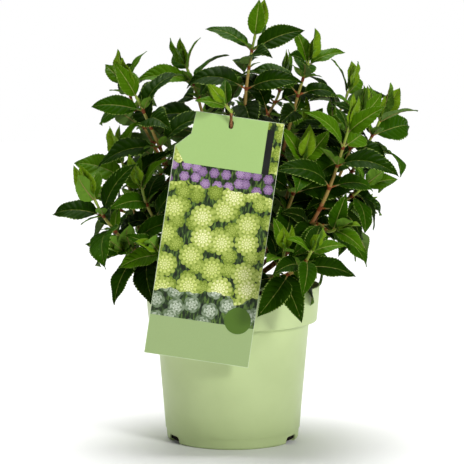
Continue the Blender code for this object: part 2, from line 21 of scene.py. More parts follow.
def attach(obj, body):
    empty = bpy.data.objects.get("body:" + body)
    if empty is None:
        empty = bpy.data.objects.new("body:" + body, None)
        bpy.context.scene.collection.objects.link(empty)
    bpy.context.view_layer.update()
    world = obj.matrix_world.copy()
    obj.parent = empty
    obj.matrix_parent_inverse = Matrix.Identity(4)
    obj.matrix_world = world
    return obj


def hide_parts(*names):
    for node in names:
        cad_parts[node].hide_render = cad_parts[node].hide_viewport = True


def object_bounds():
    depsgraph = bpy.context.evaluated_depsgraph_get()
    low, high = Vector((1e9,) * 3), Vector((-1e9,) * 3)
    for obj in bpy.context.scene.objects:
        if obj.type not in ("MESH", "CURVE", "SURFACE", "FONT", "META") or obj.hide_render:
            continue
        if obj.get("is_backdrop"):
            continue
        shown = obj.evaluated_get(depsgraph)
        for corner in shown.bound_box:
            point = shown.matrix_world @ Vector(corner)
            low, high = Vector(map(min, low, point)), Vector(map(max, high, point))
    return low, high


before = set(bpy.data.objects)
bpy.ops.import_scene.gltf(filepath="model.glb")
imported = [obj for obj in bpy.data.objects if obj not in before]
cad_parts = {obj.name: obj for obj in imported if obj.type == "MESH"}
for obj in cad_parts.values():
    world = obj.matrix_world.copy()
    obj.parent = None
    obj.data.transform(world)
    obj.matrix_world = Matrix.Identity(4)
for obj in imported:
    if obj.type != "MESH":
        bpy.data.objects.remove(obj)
cad_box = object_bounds()

MM = 0.001
GAP = 0.3 * MM

# Pot, a turned shell with a deep collar
POT_HEIGHT = 170 * MM
RIM_RADIUS = 95.5 * MM
COLLAR_DEPTH = 39 * MM
COLLAR_FOOT_RADIUS = 92.5 * MM
BODY_RADIUS = 84 * MM
BASE_RADIUS = 73 * MM
WALL = 1.6 * MM
FLOOR = 2.2 * MM
FOOT_BAND = 11.5 * MM
FOOT_STEP = 0.8 * MM
HEEL_RADIUS = 3 * MM
POT_BEVEL = 1 * MM
NOTCH_BEARINGS = (28, 152, 208, 332)
NOTCH_WIDTH = 22 * MM
NOTCH_HEIGHT = 8 * MM
NOTCH_DEPTH = 10 * MM
NOTCH_ROUND = 4 * MM
NOTCH_STEPS = 3
BASE_RINGS = (30 * MM, 60 * MM)
BAND_EDGE = ((1, -0.3), (0.6, 0.1))
BODY_SHARES = (0.2, 0.4, 0.6, 0.8, 0.97)
COLLAR_JOINT = ((0.1, -0.6), (0.7, 0))
COLLAR_SHARES = (0.25, 0.5, 0.75)
HEEL_STEPS = 6
BEVEL_STEPS = 5
LIP_STEPS = 8

# Potting mix
MIX_LEVEL = 150 * MM

# Trunk, a short stump that flares at the mix and is domed at its top
DOME_RADIUS = 12 * MM
DOME_CENTRE = 163 * MM
FLARE_RADIUS = 16.5 * MM

# Hang label, a stiff card that leans on the rim
LABEL_LEFT = -55 * MM
LABEL_RIGHT = 55 * MM
LABEL_FOOT = -68 * MM
LABEL_HEAD = 190 * MM
LABEL_CORNER = ((-38, 190), (-40, 166), (-55, 151))
LABEL_THICK = 0.7 * MM
LABEL_ROLL = radians(8.5)
LABEL_LEAN = radians(5)
LABEL_X = -28.4 * MM
SLOT_CENTRE = 181 * MM
SLOT_WIDTH = 5 * MM
SLOT_HEIGHT = 9 * MM
SHOOT_FORWARD = 0.6
BARE_MARGIN = 4 * MM

# Stems
FOOT_WIDTH = 2.5 * MM
TIP_WIDTH = 1.15 * MM
BOUGH_SIDES = 6
TWIG_SIDES = 3
BOUGH_STEP = 17 * MM
TWIG_STEP = 20 * MM
FINE_STEPS = 60
PAST_SLOT = 16 * MM
LABEL_SHOOT_SHARE = 0.8
SIDE_FIRST = 0.06
SIDE_NEXT = 0.12
SIDE_AIM = 1.2
SIDE_RADIUS = 0.85

# Leaf pairs, counted down from the newest at a shoot's tip
PAIR_BELOW_TIP = (0, 6, 21, 40, 63, 86, 110, 134, 158)
PAIR_LENGTH = (33, 42, 56, 63, 66, 66, 62, 58, 54)
PAIR_OPENING = (9, 34, 50, 58, 64, 70, 74, 78, 80)
PAIR_DROOP = (6, 50, 66, 76, 84, 90, 96, 100, 100)
PAIR_PETIOLE = (1.5, 3, 6, 8, 9, 9, 9, 9, 9)
LEAF_BREADTH = 0.43
LEAF_FOLD = radians(17)
LEAF_THICK = 0.016
CROWN_AXIS = Vector((0, 70 * MM, 0))
FACE_OUT = 1.1
FACE_SCATTER = 0.5
PETIOLE_WIDTH = 0.8 * MM
BLADE_STATIONS = ((0.30, 0.93), (0.66, 0.80))
YOUNG_STATIONS = ((0.42, 1.0),)
YOUNG_PAIRS = 2
TURN_PER_PAIR = 90
TURN_SCATTER = 9
SIZE_SCATTER = 0.09
ANGLE_SCATTER = 7
CLEAR = 0.5 * MM
SEED = 20

# What is tried in turn for a leaf that doesn't fit: its length's share, a turn about Z and a lift
TRIES = (
    (1, 0, 0), (1, 14, 0), (1, -14, 0), (1, 0, -12), (1, 0, 14), (0.88, 24, 0), (0.88, -24, 0),
    (0.88, 14, -16), (0.88, -14, 16), (0.74, 34, 0), (0.74, -34, 0), (0.66, 0, 24), (0.6, 0, -24),
)

# Older pairs, and small leaves in the axils
OLDEST_PAIR = 12
OLD_INTERNODE = 24
AXIL_SHARE = 0.5
AXIL_ROOT = 0.6 * MM
AXIL_LENGTH = (15, 27)
AXIL_RISE = 1.2
AXIL_SPREAD = (0.4, 0.8)
AXIL_TILT = 0.3
AXIL_DROOP = radians(35)
AXIL_PETIOLE = 2 * MM
AXIL_PAIR = 1

# Leaves that unfold at the tips, whose pair is BUD
BUD = 99
BUD_LENGTH = (15, 23)
BUD_DOWN = 0.5 * MM
BUD_SPREAD = (0.10, 0.22)
BUD_TILT = 0.2
BUD_DROOP = radians(4)
BUD_PETIOLE = 1 * MM

# Blades, with rows and columns at shares of their length and half breadth
OUTLINE = (0.72, 1.22)
FIRST_VEIN = 0.045
LAST_VEIN = 0.86
VEIN_HALF = 0.006
BETWEEN_VEINS = 3
VEINS = 8
YOUNG_VEINS = 6
BLADE_COLUMNS = (0.27, 0.5, 0.74, 0.95, 1.0)
UNDER_COLUMNS = (0, 1, 3, 6, 9, 11, 12)
MARGIN_COLUMN = 0.9
SMALL_LEAF = 40 * MM
FULL_LENGTH = 66 * MM
LEAST_BREADTH = (1, 0.25)
LEAST_BEND = 0.01
SWEEP = 0.17
SWEEP_POWER = 1.3
TOOTH_OUT = 1.2 * MM
TOOTH_FORWARD = 0.7 * MM
TOOTH_ENDS = (0.02, 0.98)
BREADTH_SCATTER = (0.98, 1.10)
NEW_BREADTH = 1.2
NEW_FOLD = radians(24)
FOLD_SCATTER = (0.6, 1.5)
EDGE_DROOP = (0.3, 0.9)
BULGE = 0.5 * MM
BULGE_POWER = 0.6
WAVES = (1.6, 2.6)
WAVE_HEIGHT = (0.03, 0.13)
TWIST = radians(14)
BLADE_THICK = 0.32 * MM
LEAF_SHARP = 70

# Ribs and petioles
RIB_HALF = 0.55 * MM
RIB_SHARE = 0.1
RIB_DEPTH = 0.6 * MM
RIB_END = 0.2 * MM
RIB_STATIONS = (0.0, 0.05, 0.15, 0.3, 0.5, 0.7, 0.88)
RIB_SINK = 0.05
RIB_SUNK = 0.3
RIB_GROWTH = 1.5
PETIOLE_FOOT = 1.15 * MM
PETIOLE_ROUND = 0.8 * MM
PETIOLE_STATIONS = ((0.0, PETIOLE_FOOT), (0.35, PETIOLE_ROUND * 1.1), (0.7, PETIOLE_ROUND))
PETIOLE_SIDES = 8

# Leafy stems, their nodes and the buds in bare axils
STEM_SIDES = 10
STEM_STEP = 2 * MM
STEM_FULLNESS = 1.18
STEM_RIPPLE = 0.10
STEM_GRAIN = 900
GRAIN_SHIFT = 1.7
STEM_TAPER = 4 * MM
STEM_TIP = 0.35
GREEN_TIP = 15 * MM
NODE_SWELL = 0.26
NODE_REACH = 1.9 * MM
NODE_TINTED = 0.7
JOIN_DEPTH = 1.2 * MM
FIRST_BARE_PAIR = 3
AXIL_BUD_RISE = 1.3
AXIL_BUD_UP = 1.2
AXIL_BUD_OUT = 0.8
AXIL_BUD_LENGTH = (2.6, 4.2)
AXIL_BUD_PROFILE = ((0, 0.6), (0.25, 0.95), (0.5, 0.95), (0.75, 0.65), (0.93, 0.25), (1, 0.08))
AXIL_BUD_SIDES = 6
AWRY = (0.3, 0.5, 0.81)

# Boughs and trunk, with furrowed bark
LIMB_SIDES = 20
LIMB_STEP = 2 * MM
LIMB_RIPPLE = 0.16
LIMB_GRAIN = (2.2, 2.7)
LIMB_SHIFT = 7
TRUNK_GRAIN = (3.2, 2.9)
BARK_ALONG = 260
FURROW_MIX = (0.6, 0.4)
TRUNK_FINE = 72
TRUNK_FURROW = 1.1 * MM
TRUNK_SMOOTH = 4 * MM
DOME_TILTS = range(84, 0, -7)
TRUNK_PROFILE = (
    (FLARE_RADIUS, 0.0), (FLARE_RADIUS * 0.99, 0.6), (FLARE_RADIUS * 0.92, 1.8),
    (DOME_RADIUS + 1.2 * MM, 4), (DOME_RADIUS + 0.4 * MM, 6.5), (DOME_RADIUS, 9),
)
HUB = 0.4 * MM

# Fine forms of the pot, the mix and the card
POT_FINE = 144
POT_SHARP = 40
COLLAR_CROWN = 0.25 * MM
CRUMBS = 1000
CRUMB_SIZE = (1.2, 3.6)
CRUMB_LONG = (1.0, 2.6)
CRUMB_RISE = (-0.4, 1.2)
CRUMB_TILT = 0.5
CRUMB_ROUGH = (0.75, 1.15)
CRUMB_PROFILE = ((-1, 0.25), (-0.62, 0.8), (0, 1), (0.66, 0.75), (1, 0.2))
CRUMB_SIDES = 6
CRUMB_KINDS = (0, 0, 0, 1, 1, 2)
CRUMB_SHARP = 50
CRUMB_MARGIN = 3 * MM
SLOT_FINE = 12
PRINT_THICK = 0.05 * MM
CARD_MARGIN = 0.4 * MM
HEADER = ((-42.5, 134.5), (38.7, 134.5), (38.7, 189.6), (-37.7, 189.6), (-39.8, 166), (-54.4, 151.2))
STRIP = ((38.7, 134.5), (46, 134.5), (46, 181.5), (38.7, 181.5))
FOOT_TOP = -27 * MM
BADGE = (37 * MM, -21 * MM)
BADGE_RADIUS = 14 * MM
BADGE_SIDES = 48
RINGS = 4
LILAC_ZONE = (113 * MM, 137 * MM)
SILVER_TOP = 2 * MM

# Colours, in sRGB
POT_GREEN = (183, 200, 143)
CARD_WHITE = (206, 220, 186)
HEADER_GREEN = (161, 193, 118)
FOOT_GREEN = (152, 174, 117)
STRIP_DARK = (16, 18, 14)
SPOT_GREEN = (74, 106, 24)
FLOOR_WHITE = (244, 244, 244)
LIME_PETALS = ((0.0, (56, 74, 16)), (0.3, (126, 148, 46)), (0.6, (196, 208, 110)), (1.0, (252, 250, 206)))
LILAC_PETALS = ((0.0, (58, 42, 72)), (0.4, (122, 92, 134)), (1.0, (196, 166, 204)))
SILVER_PETALS = ((0.0, (30, 44, 26)), (0.4, (98, 118, 84)), (1.0, (222, 230, 212)))
BLADE_GREENS = ((0.36, (10, 18, 6)), (0.5, (34, 54, 20)), (0.64, (92, 122, 50)))
BARK_BROWN = (110, 72, 44)
BARK_SHADES = ((0.32, (62, 38, 24)), (0.5, (112, 72, 42)), (0.68, (158, 116, 78)))
PEATS = {
    # The darkest peat is partly the moist peat's own colour and partly painted shade: on the mix's body it
    # makes the inside of the foot notches near black.
    "peat dark and painted shade": ((10, 7, 5), (30, 20, 14)),
    "peat brown": ((48, 31, 20), (84, 58, 38)),
    "peat bark": ((80, 54, 34), (124, 90, 60)),
}
AGES = 5
PAIR_AGE = (0, 1, 2, 3, 3, 4, 4, 4, 4)
AGE_DRIFT = (0, 0, 0, 1, -1)
# Each age has a tissue, a vein and a rib colour. The two oldest are darkened past the leaves' own colour as
# painted shade, for the dark inside of the crown where the old pairs grow.
LEAF_SHADES = (
    ((100, 132, 18), (120, 150, 40), (146, 170, 72)),
    ((64, 102, 5), (80, 118, 18), (124, 150, 60)),
    ((37, 72, 1), (49, 84, 7), (98, 122, 44)),
    ((22, 49, 0), (32, 60, 3), (82, 104, 36)),
    ((13, 32, 0), (20, 42, 2), (62, 82, 27)),
)
LEAF_SHEEN = ((0.46, 0.1), (0.46, 0.09), (0.48, 0.07), (0.5, 0.06), (0.52, 0.06))
SHEEN_TINT = (206, 234, 110)
MARGIN = (118, 140, 62)
UNDERSIDES = (("underside young", (98, 136, 44), 0.6, 0.12), ("underside", (92, 120, 56), 0.62, 0.12))
STEM_AGES = (16, 45, 80, 120, 170)
STEM_SHADES = (
    ("stem 0", (138, 158, 56), 0.45), ("stem 1", (148, 146, 64), 0.48), ("stem 2", (154, 128, 62), 0.52),
    ("stem 3", (148, 100, 52), 0.58), ("stem 4", (126, 74, 40), 0.64), ("stem 5", (96, 54, 30), 0.7),
    ("node", (114, 52, 10), 0.6),
)
NODE_SHADE = len(STEM_SHADES) - 1
PETIOLE_SHADES = (("petiole foot", (150, 84, 28), 0.5), ("petiole young", (146, 162, 74), 0.48),
                  ("petiole", (136, 128, 68), 0.5))

# View and light
LENS = 142.4
CAMERA = (-0.8 * MM, -2.0, 0.435)
CAMERA_DIP = 5.93
FAR = 20
FLOOR_RADIUS = 6
FLOOR_SIDES = 64
ROOM_LIGHT = 0.07
AIM = (0, 0, 0.25)
SUN = 3.9
SUN_SPREAD = 48
SUN_TILT = (-16, -2)
LIGHTS = (
    ("front right", (1.5, -1.7, 1.2), 0.6, 33),
    ("front left", (-1.9, -1.5, 0.6), 1.2, 8),
)


class Shoot(NamedTuple):
    """A leafy shoot: its tip in millimetres, its sideways run for each unit of rise there, the
    compass bearing of its newest pair, how many pairs it bears, the seed of its scatter and how
    large its leaves are."""

    tip: tuple
    lean: tuple
    turn: float
    pairs: int
    seed: int = 1
    size: float = 1.0

    def end(self):
        """The tip in metres, and the direction that the shoot has there."""
        return Vector(self.tip) * MM, Vector((*self.lean, 1)).normalized()


class Mass(NamedTuple):
    """A mass of foliage: the bearing and tilt at which its bough leaves the trunk's dome, how
    strongly it sets out that way, the share of the way where the bough ends, and its shoots. The
    first shoot goes on from the bough and the others branch from it."""

    bearing: float
    tilt: float
    drive: float
    fork: float
    shoots: tuple


MASSES = {
    "top_centre": Mass(300, 16, 1.0, 0.45, (
        Shoot((25, 2, 445), (0.24, 0), 170, 7, 13),
        Shoot((56, 66, 396), (0.1, 0.15), 45, 5, 53, 0.87),
    )),
    "top_right": Mass(20, 30, 1.0, 0.45, (
        Shoot((83, 5, 414), (0.35, 0), 90, 8, 24, 0.98),
        Shoot((130, 64, 381), (0.2, 0.2), 140, 5, 4, 1.05),
    )),
    "left_high": Mass(170, 34, 1.0, 0.42, (
        Shoot((-106, -22, 380), (-0.5, -0.08), 5, 7, 16, 1.05),
        Shoot((-119, 38, 393), (-0.25, 0.05), 75, 4, 58, 0.95),
    )),
    "top_left": Mass(120, 24, 1.0, 0.50, (
        Shoot((-52, 46, 408), (-0.45, 0.1), 30, 6, 3),
        Shoot((-3, 96, 370), (0.1, 0.3), 15, 4, 52, 1.07),
    )),
    "right_front": Mass(330, 62, 1.45, 0.42, (
        Shoot((123, -53, 344), (0.28, -0.03), 40, 7, 7, 1.07),
        Shoot((109, -88, 240), (0.6, -0.4), 50, 4, 43, 0.97),
    )),
    "left_low": Mass(197, 74, 1.25, 0.36, (
        Shoot((-149, -47, 270), (-0.42, -0.05), 160, 6, 2, 1.12),
        Shoot((-122, 10, 306), (-0.35, 0.1), 20, 5, 21, 1.14),
        Shoot((-116, -58, 213), (-0.6, -0.3), 45, 3, 44),
    )),
    "right_back": Mass(22, 64, 1.1, 0.40, (
        Shoot((164, 22, 352), (0.5, 0.1), 40, 6, 9, 1.1),
        Shoot((138, -4, 356), (0.2, -0.15), 75, 4, 53, 0.98),
        Shoot((144, -8, 280), (0.6, 0), 125, 4, 7, 0.99),
    )),
    "left_front": Mass(232, 66, 1.1, 0.40, (
        Shoot((-98, -38, 281), (-0.15, -0.15), 55, 5, 57, 1.03),
        Shoot((-79, -76, 216), (-0.5, -0.4), 10, 4, 18, 0.92),
    )),
    "front_low": Mass(293, 72, 1.1, 0.38, (
        Shoot((81, -128, 222), (0.25, -0.8), 100, 4, 6, 0.85),
        Shoot((54, -102, 220), (0.1, -0.4), 20, 4, 22, 0.9),
    )),
    "inner_right": Mass(345, 42, 1.1, 0.42, (
        Shoot((75, -48, 311), (0.2, -0.25), 100, 5, 10, 1.03),
        Shoot((74, 40, 336), (0.2, 0.2), 85, 5, 8, 1.08),
    )),
    "label_shoot": Mass(262, 46, 1.3, 1.0, (
        Shoot((-8, -91, 370), (-0.1, -0.1), 120, 2, 9, 0.75),
    )),
    "back_left": Mass(150, 66, 1.1, 0.40, (
        Shoot((-92, 112, 318), (-0.3, 0.3), 45, 6),
        Shoot((-142, 68, 258), (-0.7, 0.2), 0, 5),
    )),
    "back_centre": Mass(82, 50, 1.1, 0.42, (
        Shoot((-22, 142, 330), (-0.05, 0.35), 0, 6),
        Shoot((44, 150, 318), (0.2, 0.4), 60, 6, 2),
    )),
    "back_right": Mass(52, 70, 1.1, 0.40, (
        Shoot((108, 112, 308), (0.3, 0.3), 90, 6),
        Shoot((136, 78, 240), (0.6, 0.3), 20, 5, 2),
    )),
    "back_low": Mass(108, 76, 1.1, 0.38, (
        Shoot((-58, 130, 232), (-0.3, 0.6), 30, 5),
        Shoot((38, 128, 228), (0.2, 0.6), 70, 5, 2),
    )),
}


class Stem(NamedTuple):
    """A limb or twig: points along it, its radius at its foot and its tip, and the directions
    that its two ends face."""

    points: list
    wide: float
    narrow: float
    ends: tuple


class Leaf(NamedTuple):
    """Where a leaf grows: the middle of its stem, the way it sets out, the direction across its
    blade, its blade's length, its bend from base to tip, its petiole's length and its pair."""

    root: Vector
    way: Vector
    across: Vector
    length: float
    droop: float
    petiole: float
    pair: int


# Points, faces and objects

def polar(radius, angle):
    """Two coordinates, from a distance and an angle."""
    return radius * cos(angle), radius * sin(angle)


def arc(centre, radius, first, last, steps):
    """Points of an outline round a centre, between two angles in degrees."""
    points = []
    for step in range(steps + 1):
        across, up = polar(radius, radians(first + (last - first) * step / steps))
        points.append((centre[0] + across, centre[1] + up))
    return points


def metres(points):
    return [(x * MM, z * MM) for x, z in points]


def grid_faces(rows, columns, closed=False):
    """Quads between rows of points; a closed grid joins its last column to its first."""
    wide = columns if closed else columns - 1
    row, column = np.meshgrid(np.arange(rows - 1), np.arange(wide), indexing="ij")
    after = (column + 1) % columns
    quads = np.stack([row * columns + column, row * columns + after,
                      (row + 1) * columns + after, (row + 1) * columns + column], -1)
    return quads.reshape(-1, 4)


def new_object(name, data):
    body = bpy.data.objects.new(name, data)
    bpy.context.scene.collection.objects.link(body)
    return body


# Plain solids, which a new leaf is kept clear of

def tube(path, radii, sides, ends):
    """A capped tube along a path, with the radius given at each of its points. Its caps face
    along the two directions in ends."""
    points = []
    across = (path[1] - path[0]).orthogonal().normalized()
    turns = [ends[0]] + [after - before for before, after in zip(path, path[2:])] + [ends[1]]
    for centre, radius, turn in zip(path, radii, turns):
        along = turn.normalized()
        across = (across - along * across.dot(along)).normalized()
        other = along.cross(across)
        for side in range(sides):
            angle = tau * side / sides
            points.append(centre + (across * cos(angle) + other * sin(angle)) * radius)
    faces = grid_faces(len(path), sides, closed=True).tolist()
    faces += [list(range(sides))[::-1], list(range(len(points) - sides, len(points)))]
    return points, faces


def bent(leaf, distance):
    """A leaf's direction at a distance along its blade. The petiole is straight."""
    bend = leaf.droop * max(distance, 0) / leaf.length
    return Matrix.Rotation(bend, 3, leaf.across) @ leaf.way


def leaf_solid(leaf, swell=0.0):
    """A leaf as one closed body: a petiole sunk into the stem, then a folded blade that bends
    down to a sharp tip. With swell it is that much larger on every side."""
    points = []
    stations = [(-leaf.petiole, PETIOLE_WIDTH, 0), (0, PETIOLE_WIDTH, 0)]
    half = leaf.length * LEAF_BREADTH / 2
    blade = YOUNG_STATIONS if leaf.pair < YOUNG_PAIRS else BLADE_STATIONS
    stations += [(share * leaf.length, half * broad, 1) for share, broad in blade]
    thick = max(leaf.length * LEAF_THICK, PETIOLE_WIDTH) / 2
    centre = leaf.root
    reached = -leaf.petiole
    for distance, breadth, folded in stations:
        centre = centre + bent(leaf, (reached + distance) / 2) * (distance - reached)
        reached = distance
        up = bent(leaf, distance).cross(leaf.across)
        raised = up * (breadth * tan(LEAF_FOLD) * folded)
        side = leaf.across * (breadth + swell)
        points += [centre - side + raised, centre - up * (thick + swell)]
        points += [centre + side + raised, centre + up * (thick + swell)]
    tip = centre + bent(leaf, (reached + leaf.length) / 2) * (leaf.length - reached + swell)
    faces = grid_faces(len(stations), 4, closed=True).tolist()
    final = 4 * (len(stations) - 1)
    faces += [(final + side, final + (side + 1) % 4, len(points)) for side in range(4)]
    faces.append((3, 2, 1, 0))
    return points + [tip], faces


def blade_faces(faces):
    """A leaf's faces without its petiole's, which join its first two sections."""
    return [face for face in faces if min(face) >= 4]


def label_place():
    """The card's own axes: X across it, Y through it to the back, Z up it, from the rim's height."""
    lean = Matrix.Rotation(-LABEL_LEAN, 4, "X")
    roll = Matrix.Rotation(LABEL_ROLL, 4, "Y")
    back = RIM_RADIUS + GAP + LABEL_THICK / 2 / cos(LABEL_LEAN)
    return Matrix.Translation((LABEL_X, -back, POT_HEIGHT)) @ lean @ roll


# The plant's rule

def bezier(start, set_out, arrive, end, steps):
    """Points along a cubic from start to end, with its first and last tangents."""
    points = []
    for step in range(steps + 1):
        t = step / steps
        keep = 1 - t
        near = start + set_out / 3
        far = end - arrive / 3
        point = start * keep**3 + near * (3 * keep * keep * t) + far * (3 * keep * t * t) + end * t**3
        points.append(point)
    return points


def at_share(path, share):
    """The point and direction at a share of a path's points."""
    place = share * (len(path) - 1)
    index = min(int(place), len(path) - 2)
    here, after = path[index], path[index + 1]
    return here.lerp(after, place - index), (after - here).normalized()


def below_tip(path, distance):
    """The point and direction at a distance down from a path's end."""
    for upper, lower in zip(reversed(path), reversed(path[:-1])):
        run = (upper - lower).length
        if distance <= run:
            return upper.lerp(lower, distance / run), (upper - lower).normalized()
        distance -= run
    return None, None


def foot_of(mass):
    """Where a mass's bough stands on the trunk's dome, and the way it sets out."""
    bearing, tilt = radians(mass.bearing), radians(mass.tilt)
    out = Vector((*polar(sin(tilt), bearing), cos(tilt)))
    return Vector((0, 0, DOME_CENTRE)) + out * (DOME_RADIUS + GAP), out


def main_path(mass):
    """A fine path from the trunk's dome to the tip of a mass's first shoot."""
    start, out = foot_of(mass)
    end, lean = mass.shoots[0].end()
    span = (end - start).length
    return bezier(start, out * span * mass.drive, lean * span, end, FINE_STEPS)


def label_path(mass):
    """The label's shoot: up behind the card, through its slot, and up again before its head."""
    start, out = foot_of(mass)
    slot = label_place() @ Vector((0, 0, SLOT_CENTRE))
    through = Vector((0, -SHOOT_FORWARD, 1)).normalized()
    span = (slot - start).length
    rise = bezier(start, out * span * mass.drive, through * span, slot, FINE_STEPS)
    above = slot + through * PAST_SLOT
    rise.append(above)
    end, lean = mass.shoots[0].end()
    rest = (end - above).length
    return rise, bezier(above, through * rest, lean * rest, end, FINE_STEPS)


def stem_radius(share):
    return FOOT_WIDTH + (TIP_WIDTH - FOOT_WIDTH) * share


def stem_along(path, wide, narrow, step):
    """A stem on a fine path, with points about a step apart."""
    length = sum((b - a).length for a, b in zip(path, path[1:]))
    count = max(2, round(length / step))
    points = [at_share(path, index / count)[0] for index in range(count + 1)]
    return Stem(points, wide, narrow, (path[1] - path[0], path[-1] - path[-2]))


def side_path(stem, share, shoot):
    """A fine path from a share of the way up a stem to a side shoot's tip."""
    root, along = at_share(stem.points, share)
    end, lean = shoot.end()
    span = (end - root).length
    aim = (along + (end - root).normalized() * SIDE_AIM).normalized()
    return bezier(root, aim * span, lean * span, end, FINE_STEPS)


def grow_stems():
    """For each mass its bough, and its stems, of which the first goes on from the bough."""
    grown = {}
    for name, mass in MASSES.items():
        if name == "label_shoot":
            bough, path = label_path(mass)
            fork_radius = stem_radius(LABEL_SHOOT_SHARE)
        else:
            whole = main_path(mass)
            fork = round(mass.fork * FINE_STEPS)
            bough, path = whole[:fork + 1], whole[fork:]
            fork_radius = stem_radius(mass.fork)
        path[0] = path[0] + (path[1] - path[0]).normalized() * GAP
        stems = [stem_along(path, fork_radius, TIP_WIDTH, TWIG_STEP)]
        for index, shoot in enumerate(mass.shoots[1:]):
            side = side_path(stems[0], SIDE_FIRST + SIDE_NEXT * index, shoot)
            stems.append(stem_along(side, fork_radius * SIDE_RADIUS, TIP_WIDTH, TWIG_STEP))
        grown[name] = (stem_along(bough, FOOT_WIDTH, fork_radius, BOUGH_STEP), stems)
    return grown


def outward_at(bearing, along):
    """The way out from a stem that runs along a direction, at a compass bearing in degrees."""
    level = Vector((*polar(1, radians(bearing)), 0))
    return (level - along * level.dot(along)).normalized()


def leaf_at(point, along, shoot, pair, side, scatter):
    """One leaf of a pair, on the stem at a point. Its blade faces up and out of the crown, as
    leaves turn for light."""
    turn = shoot.turn + TURN_PER_PAIR * pair + 180 * side + scatter.uniform(-1, 1) * TURN_SCATTER
    outward = outward_at(turn, along)
    opening = radians(PAIR_OPENING[pair] + scatter.uniform(-1, 1) * ANGLE_SCATTER)
    way = along * cos(opening) + outward * sin(opening)
    facing = point - CROWN_AXIS
    facing.z = 0
    facing = facing.normalized() * FACE_OUT
    aside = [scatter.uniform(-FACE_SCATTER, FACE_SCATTER) for _ in range(2)]
    facing = facing + Vector((*aside, 1))
    across = facing.cross(way).normalized()
    droop = radians(PAIR_DROOP[pair] + scatter.uniform(-1, 1) * 2 * ANGLE_SCATTER)
    length = PAIR_LENGTH[pair] * MM * shoot.size * (1 + scatter.uniform(-1, 1) * SIZE_SCATTER)
    return Leaf(point, way, across, length, droop, PAIR_PETIOLE[pair] * MM + TIP_WIDTH, pair)


def tries(leaf):
    """The leaf as it grew, then turned, raised and shortened by steps."""
    for shorter, turn, lift in TRIES:
        swing = Matrix.Rotation(radians(turn), 3, "Z")
        raised = Matrix.Rotation(radians(lift), 3, leaf.across)
        way = swing @ (raised @ leaf.way)
        across = swing @ leaf.across
        yield leaf._replace(way=way, across=across, length=leaf.length * shorter)


class Body(NamedTuple):
    """A placed piece: its owner, its box, its surface, and what a leaf of the same owner avoids."""

    owner: str
    low: Vector
    high: Vector
    surface: BVHTree
    blade: BVHTree


def body_of(owner, points, faces, kept=None):
    """A piece with its box and surface. Kept are the faces that its own mass keeps off, or all."""
    box = [Vector(map(pick, *points)) for pick in (min, max)]
    surface = BVHTree.FromPolygons(points, faces)
    return Body(owner, *box, surface, surface if kept is None else BVHTree.FromPolygons(points, kept))


def is_clear(body, placed):
    """Whether a piece is clear of those placed so far. A leaf's blade keeps off everything, and
    its petiole only off what isn't its own mass."""
    for other in placed:
        if any(body.low[i] > other.high[i] or other.low[i] > body.high[i] for i in range(3)):
            continue
        if body.owner == other.owner and body.blade.overlap(other.blade):
            return False
        if body.owner != other.owner and body.surface.overlap(other.surface):
            return False
    return True


def hides_label(points):
    """Whether a point lies before the card's face, its top margin left out."""
    to_card = label_place().inverted()
    for point in points:
        own = to_card @ point
        beside = LABEL_LEFT < own.x < LABEL_RIGHT and LABEL_FOOT < own.z < LABEL_HEAD - BARE_MARGIN
        if own.y < 0 and beside:
            return True
    return False


def each_shoot(grown):
    """Every shoot with its mass's name, its place in the mass and its stem."""
    for name, (_, stems) in grown.items():
        for index, (shoot, stem) in enumerate(zip(MASSES[name].shoots, stems)):
            yield name, index, shoot, stem


def place_leaf(name, grown_leaf, leaves, placed, blade=True):
    """Adds a leaf at the first of its tries that is clear. Without blade its own mass may touch it."""
    for leaf in tries(grown_leaf):
        points, faces = leaf_solid(leaf, CLEAR)
        body = body_of(name, points, faces, blade_faces(faces) if blade else [])
        if is_clear(body, placed) and not hides_label(points):
            placed.append(body)
            leaves[name].append(leaf)
            return


def node_at(stem, shoot, pair):
    """The point and direction of a stem where a pair grows, or None past the stem's foot."""
    listed = min(pair, len(PAIR_BELOW_TIP) - 1)
    below = PAIR_BELOW_TIP[listed] + OLD_INTERNODE * (pair - listed)
    return below_tip(stem.points, below * MM * shoot.size)


def add_pair(name, shoot, stem, pair, leaves, placed, blade=True):
    """Adds a pair's leaves where they have room. Pairs past the listed ones are like the last."""
    point, along = node_at(stem, shoot, pair)
    if point is None:
        return
    listed = min(pair, len(PAIR_LENGTH) - 1)
    scatter = random.Random(SEED + 100 * shoot.seed + pair)
    turned_on = shoot._replace(turn=shoot.turn + TURN_PER_PAIR * (pair - listed))
    for side in (0, 1):
        place_leaf(name, leaf_at(point, along, turned_on, listed, side, scatter), leaves, placed, blade)


def grow_leaves(grown, placed):
    """Each mass's leaves, the youngest pairs of every shoot first. One that would touch another
    mass, a limb, the pot or the card after every try is left out."""
    leaves = {name: [] for name in grown}
    for pair in range(len(PAIR_LENGTH)):
        for name, _, shoot, stem in each_shoot(grown):
            if pair < shoot.pairs:
                add_pair(name, shoot, stem, pair, leaves, placed, pair > 0)
    return leaves


def stem_solid(stem, sides):
    last = len(stem.points) - 1
    radii = [stem.wide + (stem.narrow - stem.wide) * index / last for index in range(last + 1)]
    return tube(stem.points, radii, sides, stem.ends)


# The rule carried on: older pairs further down each stem, leaves in the axils and buds at the tips

def older_pairs(grown, leaves, placed):
    """Pairs below those of the plain solids, down to the fork, where there is still room."""
    for name, _, shoot, stem in each_shoot(grown):
        for pair in range(shoot.pairs, OLDEST_PAIR):
            add_pair(name, shoot, stem, pair, leaves, placed)


